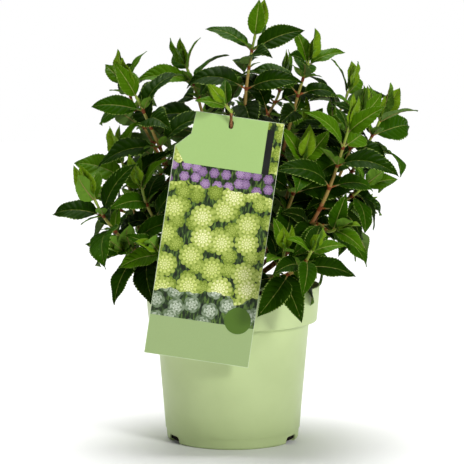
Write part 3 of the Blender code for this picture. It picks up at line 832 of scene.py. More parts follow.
def axil_leaves(grown, leaves, placed):
    """A pair of small young leaves in the axils of some older pairs."""
    for name, index, shoot, stem in each_shoot(grown):
        scatter = random.Random(f"axil {name} {index}")
        for pair in range(2, min(shoot.pairs + 1, len(PAIR_LENGTH))):
            point, along = node_at(stem, shoot, pair)
            if point is None:
                break
            for side in (0, 1):
                chance = scatter.random()
                outward = outward_at(shoot.turn + TURN_PER_PAIR * pair + 180 * side, along)
                rise = (along * AXIL_RISE + outward).normalized()
                root = point + outward * AXIL_ROOT + along * AXIL_ROOT
                for way_side in (-1, 1):
                    aside = rise.cross(outward).normalized() * way_side
                    way = (rise + aside * scatter.uniform(*AXIL_SPREAD)).normalized()
                    tilt = [scatter.uniform(-AXIL_TILT, AXIL_TILT) for _ in range(2)]
                    across = Vector((*tilt, 1)).cross(way).normalized()
                    length = scatter.uniform(*AXIL_LENGTH) * MM * shoot.size
                    if chance < AXIL_SHARE:
                        small = Leaf(root, way, across, length, AXIL_DROOP, AXIL_PETIOLE, AXIL_PAIR)
                        place_leaf(name, small, leaves, placed)


def bud_leaves(grown, leaves):
    """Two leaves that are still unfolding at each shoot's tip."""
    for name, index, shoot, stem in each_shoot(grown):
        scatter = random.Random(f"bud {name} {index}")
        tip, along = below_tip(stem.points, BUD_DOWN)
        for side in (0, 1):
            outward = outward_at(shoot.turn - TURN_PER_PAIR + 180 * side, along)
            way = (along + outward * scatter.uniform(*BUD_SPREAD)).normalized()
            across = (outward * -1 + along * BUD_TILT).cross(way).normalized()
            length = scatter.uniform(*BUD_LENGTH) * MM * shoot.size
            leaves[name].append(Leaf(tip, way, across, length, BUD_DROOP, BUD_PETIOLE, BUD))


# Meshes gathered from arrays

class Piece:
    """One mesh in the making: points, faces of any number of corners, and each face's material."""

    def __init__(self):
        self.points = []
        self.faces = []
        self.slots = []

    def add(self, points, groups, slots):
        """Each group is an array of faces with one number of corners; slots are one number, or one
        for each face."""
        for group in groups:
            self.faces += (group + len(self.points)).tolist()
        self.slots += np.broadcast_to(slots, sum(map(len, groups))).tolist()
        self.points += np.reshape(points, (-1, 3)).tolist()

    def add_rings(self, rings, slots):
        """A closed tube through rings of points; slots are one number, or one for each band."""
        count, sides = len(rings), len(rings[0])
        bands = np.broadcast_to(slots, count - 1)
        caps = np.array([range(sides - 1, -1, -1), range((count - 1) * sides, count * sides)])
        self.add(rings, [grid_faces(count, sides, closed=True), caps],
                 np.concatenate((np.repeat(bands, sides), bands[[0, -1]])))

    def add_tube(self, path, radii, sides, slots):
        self.add_rings(tube_rings(path, radii, sides), slots)

    def make(self, name, materials, sharp=None):
        mesh = bpy.data.meshes.new(name)
        mesh.from_pydata(self.points, [], self.faces)
        mesh.polygons.foreach_set("material_index", self.slots)
        mesh.validate()
        for material in materials:
            mesh.materials.append(material)
        mesh.shade_smooth()
        if sharp is not None:
            mesh.set_sharp_from_angle(angle=radians(sharp))
        return new_object(name, mesh)


def smooth_path(points, step):
    """Points about a step apart on a smooth curve through the given ones, and how far each is."""
    given = np.array([tuple(point) for point in points])
    ends = np.concatenate(([2 * given[0] - given[1]], given, [2 * given[-1] - given[-2]]))
    fine = []
    for index in range(1, len(ends) - 2):
        a, b, c, d = ends[index - 1:index + 3]
        count = max(2, round(np.linalg.norm(c - b) / step))
        t = np.linspace(0, 1, count, endpoint=False)[:, None]
        fine.append(0.5 * (2 * b + (c - a) * t + (2 * a - 5 * b + 4 * c - d) * t**2
                           + (3 * b - a - 3 * c + d) * t**3))
    fine = np.concatenate(fine + [ends[-2:-1]])
    runs = np.linalg.norm(np.diff(fine, axis=0), axis=1)
    return fine, np.concatenate(([0], np.cumsum(runs)))


def tube_rings(path, radii, sides):
    """Rings of points round a path. Radii are one for each ring, or one for each point."""
    way = np.gradient(path, axis=0)
    way /= np.linalg.norm(way, axis=1)[:, None]
    across = np.cross(way[0], AWRY)
    frames = []
    for along in way:
        across = across - along * across.dot(along)
        across = across / np.linalg.norm(across)
        frames.append((across, np.cross(along, across)))
    frames = np.array(frames)
    angles = np.arange(sides) * tau / sides
    radii = np.asarray(radii, float)
    radii = radii[:, None] if radii.ndim == 1 else radii
    spread = np.stack([np.cos(angles) * radii, np.sin(angles) * radii], -1)
    return path[:, None] + np.einsum("rsk,rkx->rsx", spread, frames)


# Leaves

def outline_breadth(u):
    """A leaf's half breadth at a share of its length, as a share of its greatest."""
    a, b = OUTLINE
    peak = a / (a + b)
    return (u / peak) ** a * ((1 - u) / (1 - peak)) ** b


def leaf_rows(veins):
    """Where the rows of a blade start on its midrib, how far each bulges, and which lie on a vein."""
    starts = [0.0]
    bulge = [0.0]
    vein = [False]
    at = [FIRST_VEIN + (LAST_VEIN - FIRST_VEIN) * index / (veins - 1) for index in range(veins)]
    at.append(1 + VEIN_HALF)
    for here, after in zip(at, at[1:]):
        starts += [here - VEIN_HALF, here + VEIN_HALF]
        bulge += [-1, -1]
        vein += [True, False]
        low, high = here + VEIN_HALF, after - VEIN_HALF
        for step in range(1, BETWEEN_VEINS + 1):
            share = step / (BETWEEN_VEINS + 1)
            starts.append(low + (high - low) * share)
            bulge.append(sin(pi * share))
            vein.append(False)
    return np.array(starts + [1.0]), np.array(bulge + [0.0]), np.array(vein + [False])


def midrib(leaf, u):
    """Where a leaf's midrib is at shares of its length, and which way is up there."""
    bend = leaf.droop if abs(leaf.droop) > LEAST_BEND else LEAST_BEND
    way = np.array(leaf.way)
    down = np.cross(np.array(leaf.across), way)
    base = np.array(leaf.root) + way * leaf.petiole
    rise, run = np.cos(bend * u)[..., None], np.sin(bend * u)[..., None]
    centre = base + leaf.length / bend * (run * way + (1 - rise) * down)
    return centre, run * way - rise * down


def blade(leaf, rng):
    """A leaf's blade: points, groups of faces and each face's part (0 blade, 1 vein, 2 rib, 3 margin
    and 4 underside). Rows sweep forward from the midrib as the side veins do. The underside has
    fewer columns."""
    length = leaf.length
    young = leaf.pair < YOUNG_PAIRS or length < SMALL_LEAF
    start, bulge, vein = leaf_rows(YOUNG_VEINS if young else VEINS)
    new = leaf.pair in (0, BUD)
    half = length * LEAF_BREADTH / 2 * rng.uniform(*BREADTH_SCATTER) * (NEW_BREADTH if new else 1)
    side = np.array([min(RIB_HALF / half, RIB_SHARE), *BLADE_COLUMNS])
    t = np.concatenate((-side[::-1], [0.0], side))
    s = start[:, None]
    u = s + SWEEP * 4 * s * (1 - s) * np.abs(t) ** SWEEP_POWER
    tooth = np.arange(len(start)) % 2 * outline_breadth(np.clip(start, *TOOTH_ENDS))
    edge = (np.abs(t) == 1) * tooth[:, None]
    u = np.minimum(u + edge * TOOTH_FORWARD / length, 1)
    least = np.where(s < 0.5, *LEAST_BREADTH) * PETIOLE_WIDTH
    width = np.maximum(half * outline_breadth(np.clip(u, 0, 1)), least)
    x = t * (width + edge * TOOTH_OUT * length / FULL_LENGTH)

    fold = LEAF_FOLD * rng.uniform(*FOLD_SCATTER) + (NEW_FOLD if new else 0)
    flare = rng.uniform(*EDGE_DROOP) * tan(fold)
    z = np.abs(x) * tan(fold) - flare * x * x / half
    z += BULGE * length / FULL_LENGTH * bulge[:, None] * np.sin(pi * np.abs(t)) ** BULGE_POWER
    z -= (t == 0) * RIB_DEPTH * (1 - u)
    waves = rng.uniform(*WAVES)
    phase = np.where(t < 0, rng.uniform(0, tau), rng.uniform(0, tau))
    z += half * rng.uniform(*WAVE_HEIGHT) * np.sin(u * waves * tau + phase) * t * t

    twist = rng.uniform(-1, 1) * TWIST * u[..., None]
    across = np.array(leaf.across)
    centre, up = midrib(leaf, u)
    sideways = across * np.cos(twist) + up * np.sin(twist)
    upright = up * np.cos(twist) - across * np.sin(twist)
    top = centre + sideways * x[..., None] + upright * z[..., None]

    rows, columns = len(start), len(t)
    inside = np.ix_(range(1, rows - 1), UNDER_COLUMNS[1:-1])
    low = top[inside] - upright[inside] * BLADE_THICK
    number = np.arange(rows * columns).reshape(rows, columns)
    upper = grid_faces(rows, columns)[:, ::-1]
    under = number.copy()
    under[inside] = rows * columns + np.arange(low.shape[0] * low.shape[1]).reshape(low.shape[:2])
    kept = under[1:-1, UNDER_COLUMNS].ravel()
    groups = [upper, kept[grid_faces(rows - 2, len(UNDER_COLUMNS))]]
    for left, right in zip(UNDER_COLUMNS, UNDER_COLUMNS[1:]):
        foot = [*number[0, left:right + 1], under[1, right], under[1, left]]
        head = [under[-2, left], under[-2, right], *number[-1, left:right + 1][::-1]]
        groups.append(np.array([foot, head]))

    part = np.zeros((rows - 1, columns - 1), int)
    inner = np.minimum(np.abs(t[1:]), np.abs(t[:-1]))
    part[np.ix_(vein[:-1], inner < MARGIN_COLUMN)] = 1
    part[:, inner == 0] = 2
    part[np.ix_(np.arange(rows - 1) % 2 == 0, inner > MARGIN_COLUMN)] = 3
    below = sum(len(group) for group in groups) - part.size
    parts = np.concatenate((part.ravel(), np.full(below, 4)))
    return np.concatenate((top.reshape(-1, 3), low.reshape(-1, 3))), groups, parts


def rib_path(leaf):
    """The petiole and the rib under the blade: a path and its radii."""
    root, way = np.array(leaf.root), np.array(leaf.way)
    petiole = [root + way * leaf.petiole * share for share, _ in PETIOLE_STATIONS]
    u = np.array(RIB_STATIONS)
    centre, up = midrib(leaf, u)
    radii = PETIOLE_ROUND + (RIB_END - PETIOLE_ROUND) * u
    sunk = RIB_DEPTH * (1 - u) * np.minimum(u / RIB_SINK, 1) + radii * RIB_SUNK
    path = np.concatenate((petiole, centre - up * sunk[:, None]))
    radii = np.concatenate(([radius for _, radius in PETIOLE_STATIONS], radii))
    return path, radii * min(1.0, leaf.length / FULL_LENGTH * RIB_GROWTH)


def make_leaves(name, leaves):
    """A mass's blades and its petioles. Blades take the colours of their age, of which each has one for the
    tissue, the veins and the rib; then come two undersides and the margin.
    The oldest ages are darker than the leaves' own colour, as painted shade of the crown's inside."""
    blades = Piece()
    petioles = Piece()
    for index, leaf in enumerate(leaves):
        rng = random.Random(f"leaf {name} {index}")
        age = leaf_age_and_shade(leaf, rng)
        points, groups, parts = blade(leaf, rng)
        slots = np.array([age * 3, age * 3 + 1, age * 3 + 2, AGES * 3 + 2, AGES * 3 + (age > 1)])[parts]
        blades.add(points, groups, slots)
        path, radii = rib_path(leaf)
        foot = 0 if age > 1 else 1
        petioles.add_tube(path, radii, PETIOLE_SIDES, [foot, foot] + [2] * (len(path) - 3))
    return blades, petioles


def leaf_age_and_shade(leaf, rng):
    """Which of the leaf colours, from the newest to the oldest, a leaf takes. The oldest colours also carry
    painted shade.
    """
    if leaf.pair == BUD:
        return 0
    drift = rng.choice(AGE_DRIFT)
    return min(max(PAIR_AGE[leaf.pair] + drift, 0 if leaf.pair < 1 else 1), AGES - 1)


# Stems and bark

def node_distances(shoot, length):
    """How far below the tip each of a shoot's nodes is."""
    listed = [below * MM * shoot.size for below in PAIR_BELOW_TIP]
    while listed[-1] < length:
        listed.append(listed[-1] + OLD_INTERNODE * MM * shoot.size)
    return np.array([below for below in listed if below < length])


def add_stem(piece, stem, shoot, grow_on):
    """A leafy stem with swollen nodes, in colours from its green tip to its brown foot."""
    points = list(stem.points)
    if grow_on:
        points[0] = points[0] - (points[1] - points[0]).normalized() * JOIN_DEPTH
    path, reached = smooth_path(points, STEM_STEP)
    below = reached[-1] - reached
    radii = STEM_FULLNESS * (stem.wide + (stem.narrow - stem.wide) * reached / reached[-1])
    radii = radii * np.clip(below / STEM_TAPER, STEM_TIP, 1) ** 0.5
    nodes = node_distances(shoot, reached[-1])
    off = np.abs(below[:, None] - nodes).min(1)
    radii = radii * (1 + NODE_SWELL * np.exp(-(off / NODE_REACH) ** 2))
    ripple = np.array([[noise.noise(Vector(point) * STEM_GRAIN + Vector((side * GRAIN_SHIFT, 0, 0)))
                        for side in range(STEM_SIDES)] for point in path])
    grown = radii[:, None] * (1 + STEM_RIPPLE * ripple)
    middle = (below[:-1] + below[1:]) / 2 / shoot.size
    shade = np.searchsorted(STEM_AGES, middle / MM)
    near = np.minimum(off[:-1], off[1:]) < NODE_REACH * NODE_TINTED
    shade = np.where(near & (middle > GREEN_TIP), NODE_SHADE, shade)
    piece.add_tube(path, grown, STEM_SIDES, shade)
    return nodes


def add_buds(piece, stem, shoot, nodes, rng):
    """A small bud in each bare axil."""
    for index, below in enumerate(nodes):
        point, along = below_tip(stem.points, below)
        if index < FIRST_BARE_PAIR or point is None:
            continue
        for side in (0, 1):
            outward = outward_at(shoot.turn + TURN_PER_PAIR * index + 180 * side, along)
            rise = (along * AXIL_BUD_RISE + outward).normalized()
            root = point + along * AXIL_BUD_UP * MM + outward * AXIL_BUD_OUT * MM
            length = rng.uniform(*AXIL_BUD_LENGTH) * MM
            path = np.array([root + rise * length * share for share, _ in AXIL_BUD_PROFILE])
            radii = [radius * MM for _, radius in AXIL_BUD_PROFILE]
            piece.add_tube(path, radii, AXIL_BUD_SIDES, NODE_SHADE)


def furrow(angle, along, grain):
    """The bark's relief, about -1 to 1, at an angle round a limb and a place along it."""
    spot = Vector((*(part * grain[0] for part in polar(1, angle)), along))
    return noise.noise(spot) * FURROW_MIX[0] + noise.noise(spot * grain[1]) * FURROW_MIX[1]


def add_limb(piece, stem, seed):
    """A bough with furrowed bark."""
    path, reached = smooth_path(stem.points, LIMB_STEP)
    radii = stem.wide + (stem.narrow - stem.wide) * reached / reached[-1]
    relief = [[furrow(tau * side / LIMB_SIDES, run * BARK_ALONG + seed * LIMB_SHIFT, LIMB_GRAIN)
               for side in range(LIMB_SIDES)] for run in reached]
    piece.add_tube(path, radii[:, None] * (1 + LIMB_RIPPLE * np.array(relief)), LIMB_SIDES, 0)


def make_trunk():
    """The stump: a flared, furrowed stem whose domed top carries the boughs."""
    profile = [(radius, MIX_LEVEL + GAP + rise * MM) for radius, rise in TRUNK_PROFILE]
    for tilt in DOME_TILTS:
        up, out = polar(DOME_RADIUS, radians(tilt))
        profile.append((out, DOME_CENTRE + up))
    profile.append((HUB, DOME_CENTRE + DOME_RADIUS))
    rows = []
    for radius, height in profile:
        row = []
        for side in range(TRUNK_FINE):
            angle = tau * side / TRUNK_FINE
            deep = abs(furrow(angle, height * BARK_ALONG, TRUNK_GRAIN)) * TRUNK_FURROW
            row.append((*polar(radius - deep * min(1, radius / TRUNK_SMOOTH), angle), height))
        rows.append(row)
    piece = Piece()
    piece.add_rings(rows, 0)
    return piece


# Pot and potting mix

def inner_radius(height):
    """The pot's inner radius below its collar."""
    collar_foot = POT_HEIGHT - COLLAR_DEPTH + WALL
    share = (height - FLOOR) / (collar_foot - FLOOR)
    low = BASE_RADIUS - FOOT_STEP - WALL
    return low + (BODY_RADIUS - WALL - low) * share


def pot_rings():
    """The pot's section, up the outside from its underside's centre and down the inside."""
    collar_foot = POT_HEIGHT - COLLAR_DEPTH
    slope = (BODY_RADIUS - BASE_RADIUS) / collar_foot

    def wall(height):
        return BASE_RADIUS + slope * height

    heel = (wall(HEEL_RADIUS) - FOOT_STEP - HEEL_RADIUS, HEEL_RADIUS)
    outer = [(radius, 0) for radius in (HUB, *BASE_RINGS)] + arc(heel, HEEL_RADIUS, -90, 0, HEEL_STEPS)
    outer += [(wall(FOOT_BAND) - FOOT_STEP * kept, FOOT_BAND + up * MM) for kept, up in BAND_EDGE]
    heights = [FOOT_BAND + (collar_foot - FOOT_BAND) * share for share in BODY_SHARES]
    outer += [(wall(height), height) for height in (FOOT_BAND + FOOT_STEP, *heights)]
    outer += [(BODY_RADIUS + out * MM, collar_foot + up * MM) for out, up in COLLAR_JOINT]
    edge = (COLLAR_FOOT_RADIUS - POT_BEVEL, collar_foot + POT_BEVEL)
    outer += arc(edge, POT_BEVEL, -90, 0, BEVEL_STEPS)
    for share in COLLAR_SHARES:
        radius = COLLAR_FOOT_RADIUS + (RIM_RADIUS - COLLAR_FOOT_RADIUS) * share
        outer.append((radius + COLLAR_CROWN * sin(pi * share), collar_foot + COLLAR_DEPTH * share))
    lip = WALL / 2
    outer += arc((RIM_RADIUS - lip, POT_HEIGHT - lip), lip, 0, 180, LIP_STEPS)
    inner = [(COLLAR_FOOT_RADIUS - WALL, collar_foot + 2 * WALL), (BODY_RADIUS - WALL, collar_foot + WALL)]
    inner += [(radius, FLOOR) for radius in (inner_radius(FLOOR), BASE_RINGS[0], HUB)]
    return outer + inner


def notch_cutter(name, bearing):
    """An arched prism through the pot's foot at a bearing."""
    half = NOTCH_WIDTH / 2
    top = NOTCH_HEIGHT - NOTCH_ROUND
    outline = [(half, -NOTCH_ROUND)] + arc((half - NOTCH_ROUND, top), NOTCH_ROUND, 0, 90, NOTCH_STEPS)
    outline += arc((NOTCH_ROUND - half, top), NOTCH_ROUND, 90, 180, NOTCH_STEPS) + [(-half, -NOTCH_ROUND)]
    count = len(outline)
    turn = Matrix.Rotation(bearing, 4, "Z")
    reach = (BASE_RADIUS - NOTCH_DEPTH, BASE_RADIUS + NOTCH_DEPTH)
    points = [turn @ Vector((out, across, up)) for out in reach for across, up in outline]
    ends = [list(range(count))[::-1], list(range(count, 2 * count))]
    mesh = bpy.data.meshes.new(name)
    mesh.from_pydata(points, [], ends + grid_faces(2, count, closed=True).tolist())
    return new_object(name, mesh)


def make_pot():
    """The turned shell, less its drain notches."""
    angles = np.arange(POT_FINE) * tau / POT_FINE
    rings = [[(*polar(radius, angle), height) for angle in angles] for radius, height in pot_rings()]
    piece = Piece()
    piece.add_rings(rings, 0)
    pot = piece.make("pot_shell", [pot_plastic()])
    for index, bearing in enumerate(NOTCH_BEARINGS):
        cutter = notch_cutter(f"notch_cutter_{index}", radians(bearing))
        cut = pot.modifiers.new(f"notch_{index}", "BOOLEAN")
        cut.operation = "DIFFERENCE"
        cut.object = cutter
    graph = bpy.context.evaluated_depsgraph_get()
    cut_mesh = bpy.data.meshes.new_from_object(pot.evaluated_get(graph))
    for modifier in list(pot.modifiers):
        cutter = modifier.object
        pot.modifiers.remove(modifier)
        bpy.data.objects.remove(cutter)
    pot.data = cut_mesh
    cut_mesh.shade_smooth()
    cut_mesh.set_sharp_from_angle(angle=radians(POT_SHARP))
    return pot


def make_crumbs():
    """Bark crumbs, fibres and grit that lie on the potting mix."""
    rng = random.Random(SEED)
    shoulder = COLLAR_FOOT_RADIUS - WALL
    piece = Piece()
    for _ in range(CRUMBS):
        out = sqrt(rng.uniform((DOME_RADIUS / shoulder) ** 2, 1)) * (shoulder - CRUMB_MARGIN)
        bearing = rng.uniform(0, tau)
        size = rng.uniform(*CRUMB_SIZE) * MM
        long = size * rng.uniform(*CRUMB_LONG)
        centre = Vector((*polar(out, bearing), MIX_LEVEL + rng.uniform(*CRUMB_RISE) * MM))
        turn = Matrix.Rotation(rng.uniform(0, tau), 3, "Z")
        turn = turn @ Matrix.Rotation(rng.uniform(-CRUMB_TILT, CRUMB_TILT), 3, "X")
        rings = []
        for share, broad in CRUMB_PROFILE:
            ring = []
            for side in range(CRUMB_SIDES):
                angle = tau * side / CRUMB_SIDES
                rough = broad * rng.uniform(*CRUMB_ROUGH)
                across, up = cos(angle) * size / 2 * rough, sin(angle) * size / 3 * rough
                ring.append(tuple(centre + turn @ Vector((share * long / 2, across, up))))
            rings.append(ring)
        piece.add_rings(rings, rng.choice(CRUMB_KINDS))
    return piece


# Label

def slot_outline():
    """A slot with round ends, upright in the card."""
    radius = SLOT_WIDTH / 2
    reach = SLOT_HEIGHT / 2 - radius
    upper = arc((0, SLOT_CENTRE + reach), radius, 0, 180, SLOT_FINE)
    return upper + arc((0, SLOT_CENTRE - reach), radius, 180, 360, SLOT_FINE)


def plate(name, loops, front, back, material):
    """A flat closed piece of the card, from outlines in the card's X and Z; loops after the first
    are holes."""
    grid = bmesh.new()
    edges = []
    for loop in loops:
        ring = [grid.verts.new((x, front, z)) for x, z in loop]
        edges += [grid.edges.new((ring[i - 1], ring[i])) for i in range(len(ring))]
    made = bmesh.ops.triangle_fill(grid, use_beauty=True, edges=edges, normal=(0, -1, 0))
    card = [part for part in made["geom"] if isinstance(part, bmesh.types.BMFace)]
    thick = bmesh.ops.extrude_face_region(grid, geom=card)
    moved = [part for part in thick["geom"] if isinstance(part, bmesh.types.BMVert)]
    bmesh.ops.translate(grid, verts=moved, vec=(0, back - front, 0))
    bmesh.ops.recalc_face_normals(grid, faces=grid.faces)
    mesh = bpy.data.meshes.new(name)
    grid.to_mesh(mesh)
    grid.free()
    mesh.materials.append(material)
    body = new_object(name, mesh)
    body.matrix_world = label_place()
    return body


def make_label():
    """The card and what is printed on its face: plain fields of colour round a flower pattern."""
    front = -LABEL_THICK / 2
    print_front = front - PRINT_THICK
    outline = [(LABEL_LEFT, LABEL_FOOT), (LABEL_RIGHT, LABEL_FOOT), (LABEL_RIGHT, LABEL_HEAD)]
    outline += metres(LABEL_CORNER)
    card = plate("label_card", [outline, slot_outline()], front, LABEL_THICK / 2, card_back())
    left, right = LABEL_LEFT + CARD_MARGIN, LABEL_RIGHT - CARD_MARGIN
    low, high = LABEL_FOOT + CARD_MARGIN, LABEL_HEAD - CARD_MARGIN
    head, strip = metres(HEADER), metres(STRIP)
    foot = [(left, low), (right, low), (right, FOOT_TOP), (left, FOOT_TOP)]
    picture = [(left, FOOT_TOP), (right, FOOT_TOP), (right, high), head[2], *strip[::-1], head[0], head[-1]]
    fields = (
        ("label_header", [head, slot_outline()], ink("header ink", HEADER_GREEN)),
        ("label_strip", [strip], ink("strip ink", STRIP_DARK)),
        ("label_foot", [foot], ink("foot ink", FOOT_GREEN)),
        ("label_pattern", [picture], flower_print()),
    )
    prints = [plate(name, loops, print_front, front, look) for name, loops, look in fields]
    badge = arc(BADGE, BADGE_RADIUS, 0, 360, BADGE_SIDES)[:-1]
    spot = plate("label_spot", [badge], print_front - PRINT_THICK, print_front, ink("spot ink", SPOT_GREEN))
    return [card, *prints, spot]


# Materials

class Graph:
    """A material and short ways to add nodes to it."""

    def __init__(self, name, colour, roughness, specular=0.5):
        self.material = bpy.data.materials.new(name)
        self.material.use_nodes = True
        self.nodes = self.material.node_tree.nodes
        self.links = self.material.node_tree.links
        self.shader = self.nodes["Principled BSDF"]
        self.shader.inputs["Base Color"].default_value = (*linear(colour), 1)
        self.shader.inputs["Roughness"].default_value = roughness
        self.shader.inputs["Specular IOR Level"].default_value = specular

    def add(self, kind, inputs=(), **settings):
        node = self.nodes.new("ShaderNode" + kind)
        for key, value in settings.items():
            setattr(node, key, value)
        for key, value in dict(inputs).items():
            self.put(node.inputs[key], value)
        return node

    def put(self, socket, value):
        if isinstance(value, bpy.types.NodeSocket):
            self.links.new(value, socket)
        else:
            socket.default_value = value

    def own(self):
        """The object's own coordinates."""
        return self.add("TexCoord").outputs["Object"]

    def calc(self, operation, *values):
        node = self.add("Math", operation=operation)
        for socket, value in zip(node.inputs, values):
            self.put(socket, value)
        return node.outputs[0]

    def noise(self, scale, detail=2.0, where=None):
        where = self.own() if where is None else where
        return self.add("TexNoise", {"Vector": where, "Scale": scale, "Detail": detail}).outputs[0]

    def cells(self, scale, feature="F1", where=None, randomness=1.0, dimensions="3D"):
        where = self.own() if where is None else where
        inputs = {"Vector": where, "Scale": scale, "Randomness": randomness}
        return self.add("TexVoronoi", inputs, feature=feature, voronoi_dimensions=dimensions)

    def ramp(self, value, stops):
        """Colours, given in sRGB, by a value's place between stops."""
        node = self.add("ValToRGB", {0: value})
        band = node.color_ramp
        while len(band.elements) < len(stops):
            band.elements.new(0.5)
        for element, (place, colour) in zip(band.elements, stops):
            element.position = place
            element.color = (*linear(colour), 1)
        return node.outputs[0]

    def mix(self, share, low, high):
        node = self.add("Mix", data_type="RGBA")
        self.put(node.inputs[0], share)
        self.put(node.inputs[6], low)
        self.put(node.inputs[7], high)
        return node.outputs[2]

    def bump(self, height, strength, distance):
        before = self.shader.inputs["Normal"].links
        node = self.add("Bump", {"Height": height, "Strength": strength, "Distance": distance})
        if before:
            self.links.new(before[0].from_socket, node.inputs["Normal"])
        self.links.new(node.outputs[0], self.shader.inputs["Normal"])

    def colour(self, socket):
        self.links.new(socket, self.shader.inputs["Base Color"])

    def tint(self, value, colour, changes, places=(0.35, 0.65)):
        """A base colour that drifts with a value between two tints of one colour."""
        tints = [tuple(part + change for part in colour) for change in changes]
        self.colour(self.ramp(value, tuple(zip(places, tints))))

    def roughness(self, value, low, high):
        """Roughness that runs from low to high with a value."""
        node = self.add("MapRange", {0: value, 1: 0.3, 2: 0.7, 3: low, 4: high})
        self.links.new(node.outputs[0], self.shader.inputs["Roughness"])


def linear(colour):
    """An sRGB colour in 0 to 255 as the shader's linear one."""
    shares = [value / 255 for value in colour]
    return [c / 12.92 if c <= 0.04045 else ((c + 0.055) / 1.055) ** 2.4 for c in shares]


def leaf_material(name, colour, roughness, specular):
    """Leaf tissue: a fine net of veinlets and an uneven waxy sheen."""
    graph = Graph(name, colour, roughness, specular)
    graph.shader.inputs["Specular Tint"].default_value = (*linear(SHEEN_TINT), 1)
    graph.roughness(graph.noise(260), roughness - 0.07, roughness + 0.09)
    net = graph.cells(820, "DISTANCE_TO_EDGE").outputs["Distance"]
    graph.bump(net, 0.6, 0.4 * MM)
    graph.bump(graph.noise(300), 0.4, 0.6 * MM)
    return graph.material


def stem_material(name, colour, roughness):
    graph = Graph(name, colour, roughness, 0.3)
    grain = graph.noise(700, 3)
    graph.bump(grain, 0.4, 0.25 * MM)
    graph.roughness(grain, roughness - 0.08, roughness + 0.1)
    return graph.material


def bark_material():
    """Brown bark with pale corky flecks and long fibres."""
    graph = Graph("bark", BARK_BROWN, 0.85, 0.2)
    long = graph.add("Mapping", {"Vector": graph.own(), "Scale": (1, 1, 0.22)}).outputs[0]
    fibres = graph.noise(520, 4, long)
    graph.colour(graph.ramp(fibres, BARK_SHADES))
    graph.bump(fibres, 0.7, 0.8 * MM)
    graph.bump(graph.cells(900).outputs["Distance"], 0.3, 0.3 * MM)
    return graph.material


def pot_plastic():
    """Moulded polypropylene: a faint grain, a soft sheen and slight scuffs."""
    graph = Graph("pot plastic", POT_GREEN, 0.42, 0.35)
    graph.tint(graph.noise(18, 3), POT_GREEN, (-4, 3))
    graph.roughness(graph.noise(40, 4), 0.36, 0.5)
    graph.bump(graph.noise(2600, 2), 0.12, 0.1 * MM)
    graph.bump(graph.noise(35, 2), 0.04, 1.5 * MM)
    return graph.material


def peat_material(name, colours):
    graph = Graph(name, colours[1], 0.95, 0.15)
    grain = graph.noise(800, 5)
    graph.colour(graph.ramp(grain, ((0.35, colours[0]), (0.65, colours[1]))))
    graph.bump(grain, 0.9, 0.8 * MM)
    return graph.material


def card_back():
    graph = Graph("label card", CARD_WHITE, 0.5, 0.4)
    fibre = graph.noise(900, 3)
    graph.tint(fibre, CARD_WHITE, (-8, 0))
    graph.bump(fibre, 0.1, 0.1 * MM)
    return graph.material


def ink(name, colour):
    """A flat field of satin print on the card."""
    graph = Graph(name, colour, 0.34, 0.4)
    graph.tint(graph.noise(1200, 2), colour, (-1, 1), (0.4, 0.6))
    graph.roughness(graph.noise(60, 3), 0.3, 0.42)
    graph.bump(graph.noise(90, 2), 0.05, 0.5 * MM)
    return graph.material


def flower_print():
    """A made-up pattern of round rosettes over leaves, as on any garden card. It has zones up the
    card: silvery rosettes at the foot, large lime ones, and small lilac ones under the header."""
    graph = Graph("pattern print", (90, 120, 60), 0.34, 0.4)
    calc = graph.calc
    parts = graph.add("SeparateXYZ", {"Vector": graph.own()}).outputs
    flat = graph.add("CombineXYZ", {"X": parts["X"], "Y": parts["Z"]}).outputs[0]
    drift = calc("MULTIPLY", calc("SUBTRACT", graph.noise(45, 2, flat), 0.5), 0.03)
    height = calc("ADD", parts["Z"], drift)
    slanted = {"Vector": flat, "Scale": (1, 0.3, 1), "Rotation": (0, 0, 0.4)}
    blades = graph.add("Mapping", slanted).outputs[0]
    ground = graph.ramp(graph.noise(420, 4, blades), BLADE_GREENS)

    def over(below, *blooms):
        colour, place = rosettes(graph, flat, *blooms)
        return graph.mix(place, below, colour)

    behind = over(ground, 19 * MM, (0.3, 0.7), 0.46, 9, LIME_PETALS, 0.62)
    lime = over(behind, 26 * MM, (0, 0), 0.5, 11, LIME_PETALS, 1)
    lilac = over(ground, 11.5 * MM, (0, 0), 0.47, 6, LILAC_PETALS, 1)
    silver = over(ground, 18 * MM, (0, 0), 0.5, 5, SILVER_PETALS, 1)
    above, below = calc("GREATER_THAN", height, LILAC_ZONE[0]), calc("LESS_THAN", height, LILAC_ZONE[1])
    upper = graph.mix(calc("MULTIPLY", above, below), lime, lilac)
    graph.colour(graph.mix(calc("LESS_THAN", height, SILVER_TOP), upper, silver))
    graph.bump(graph.noise(90, 2), 0.05, 0.5 * MM)
    return graph.material


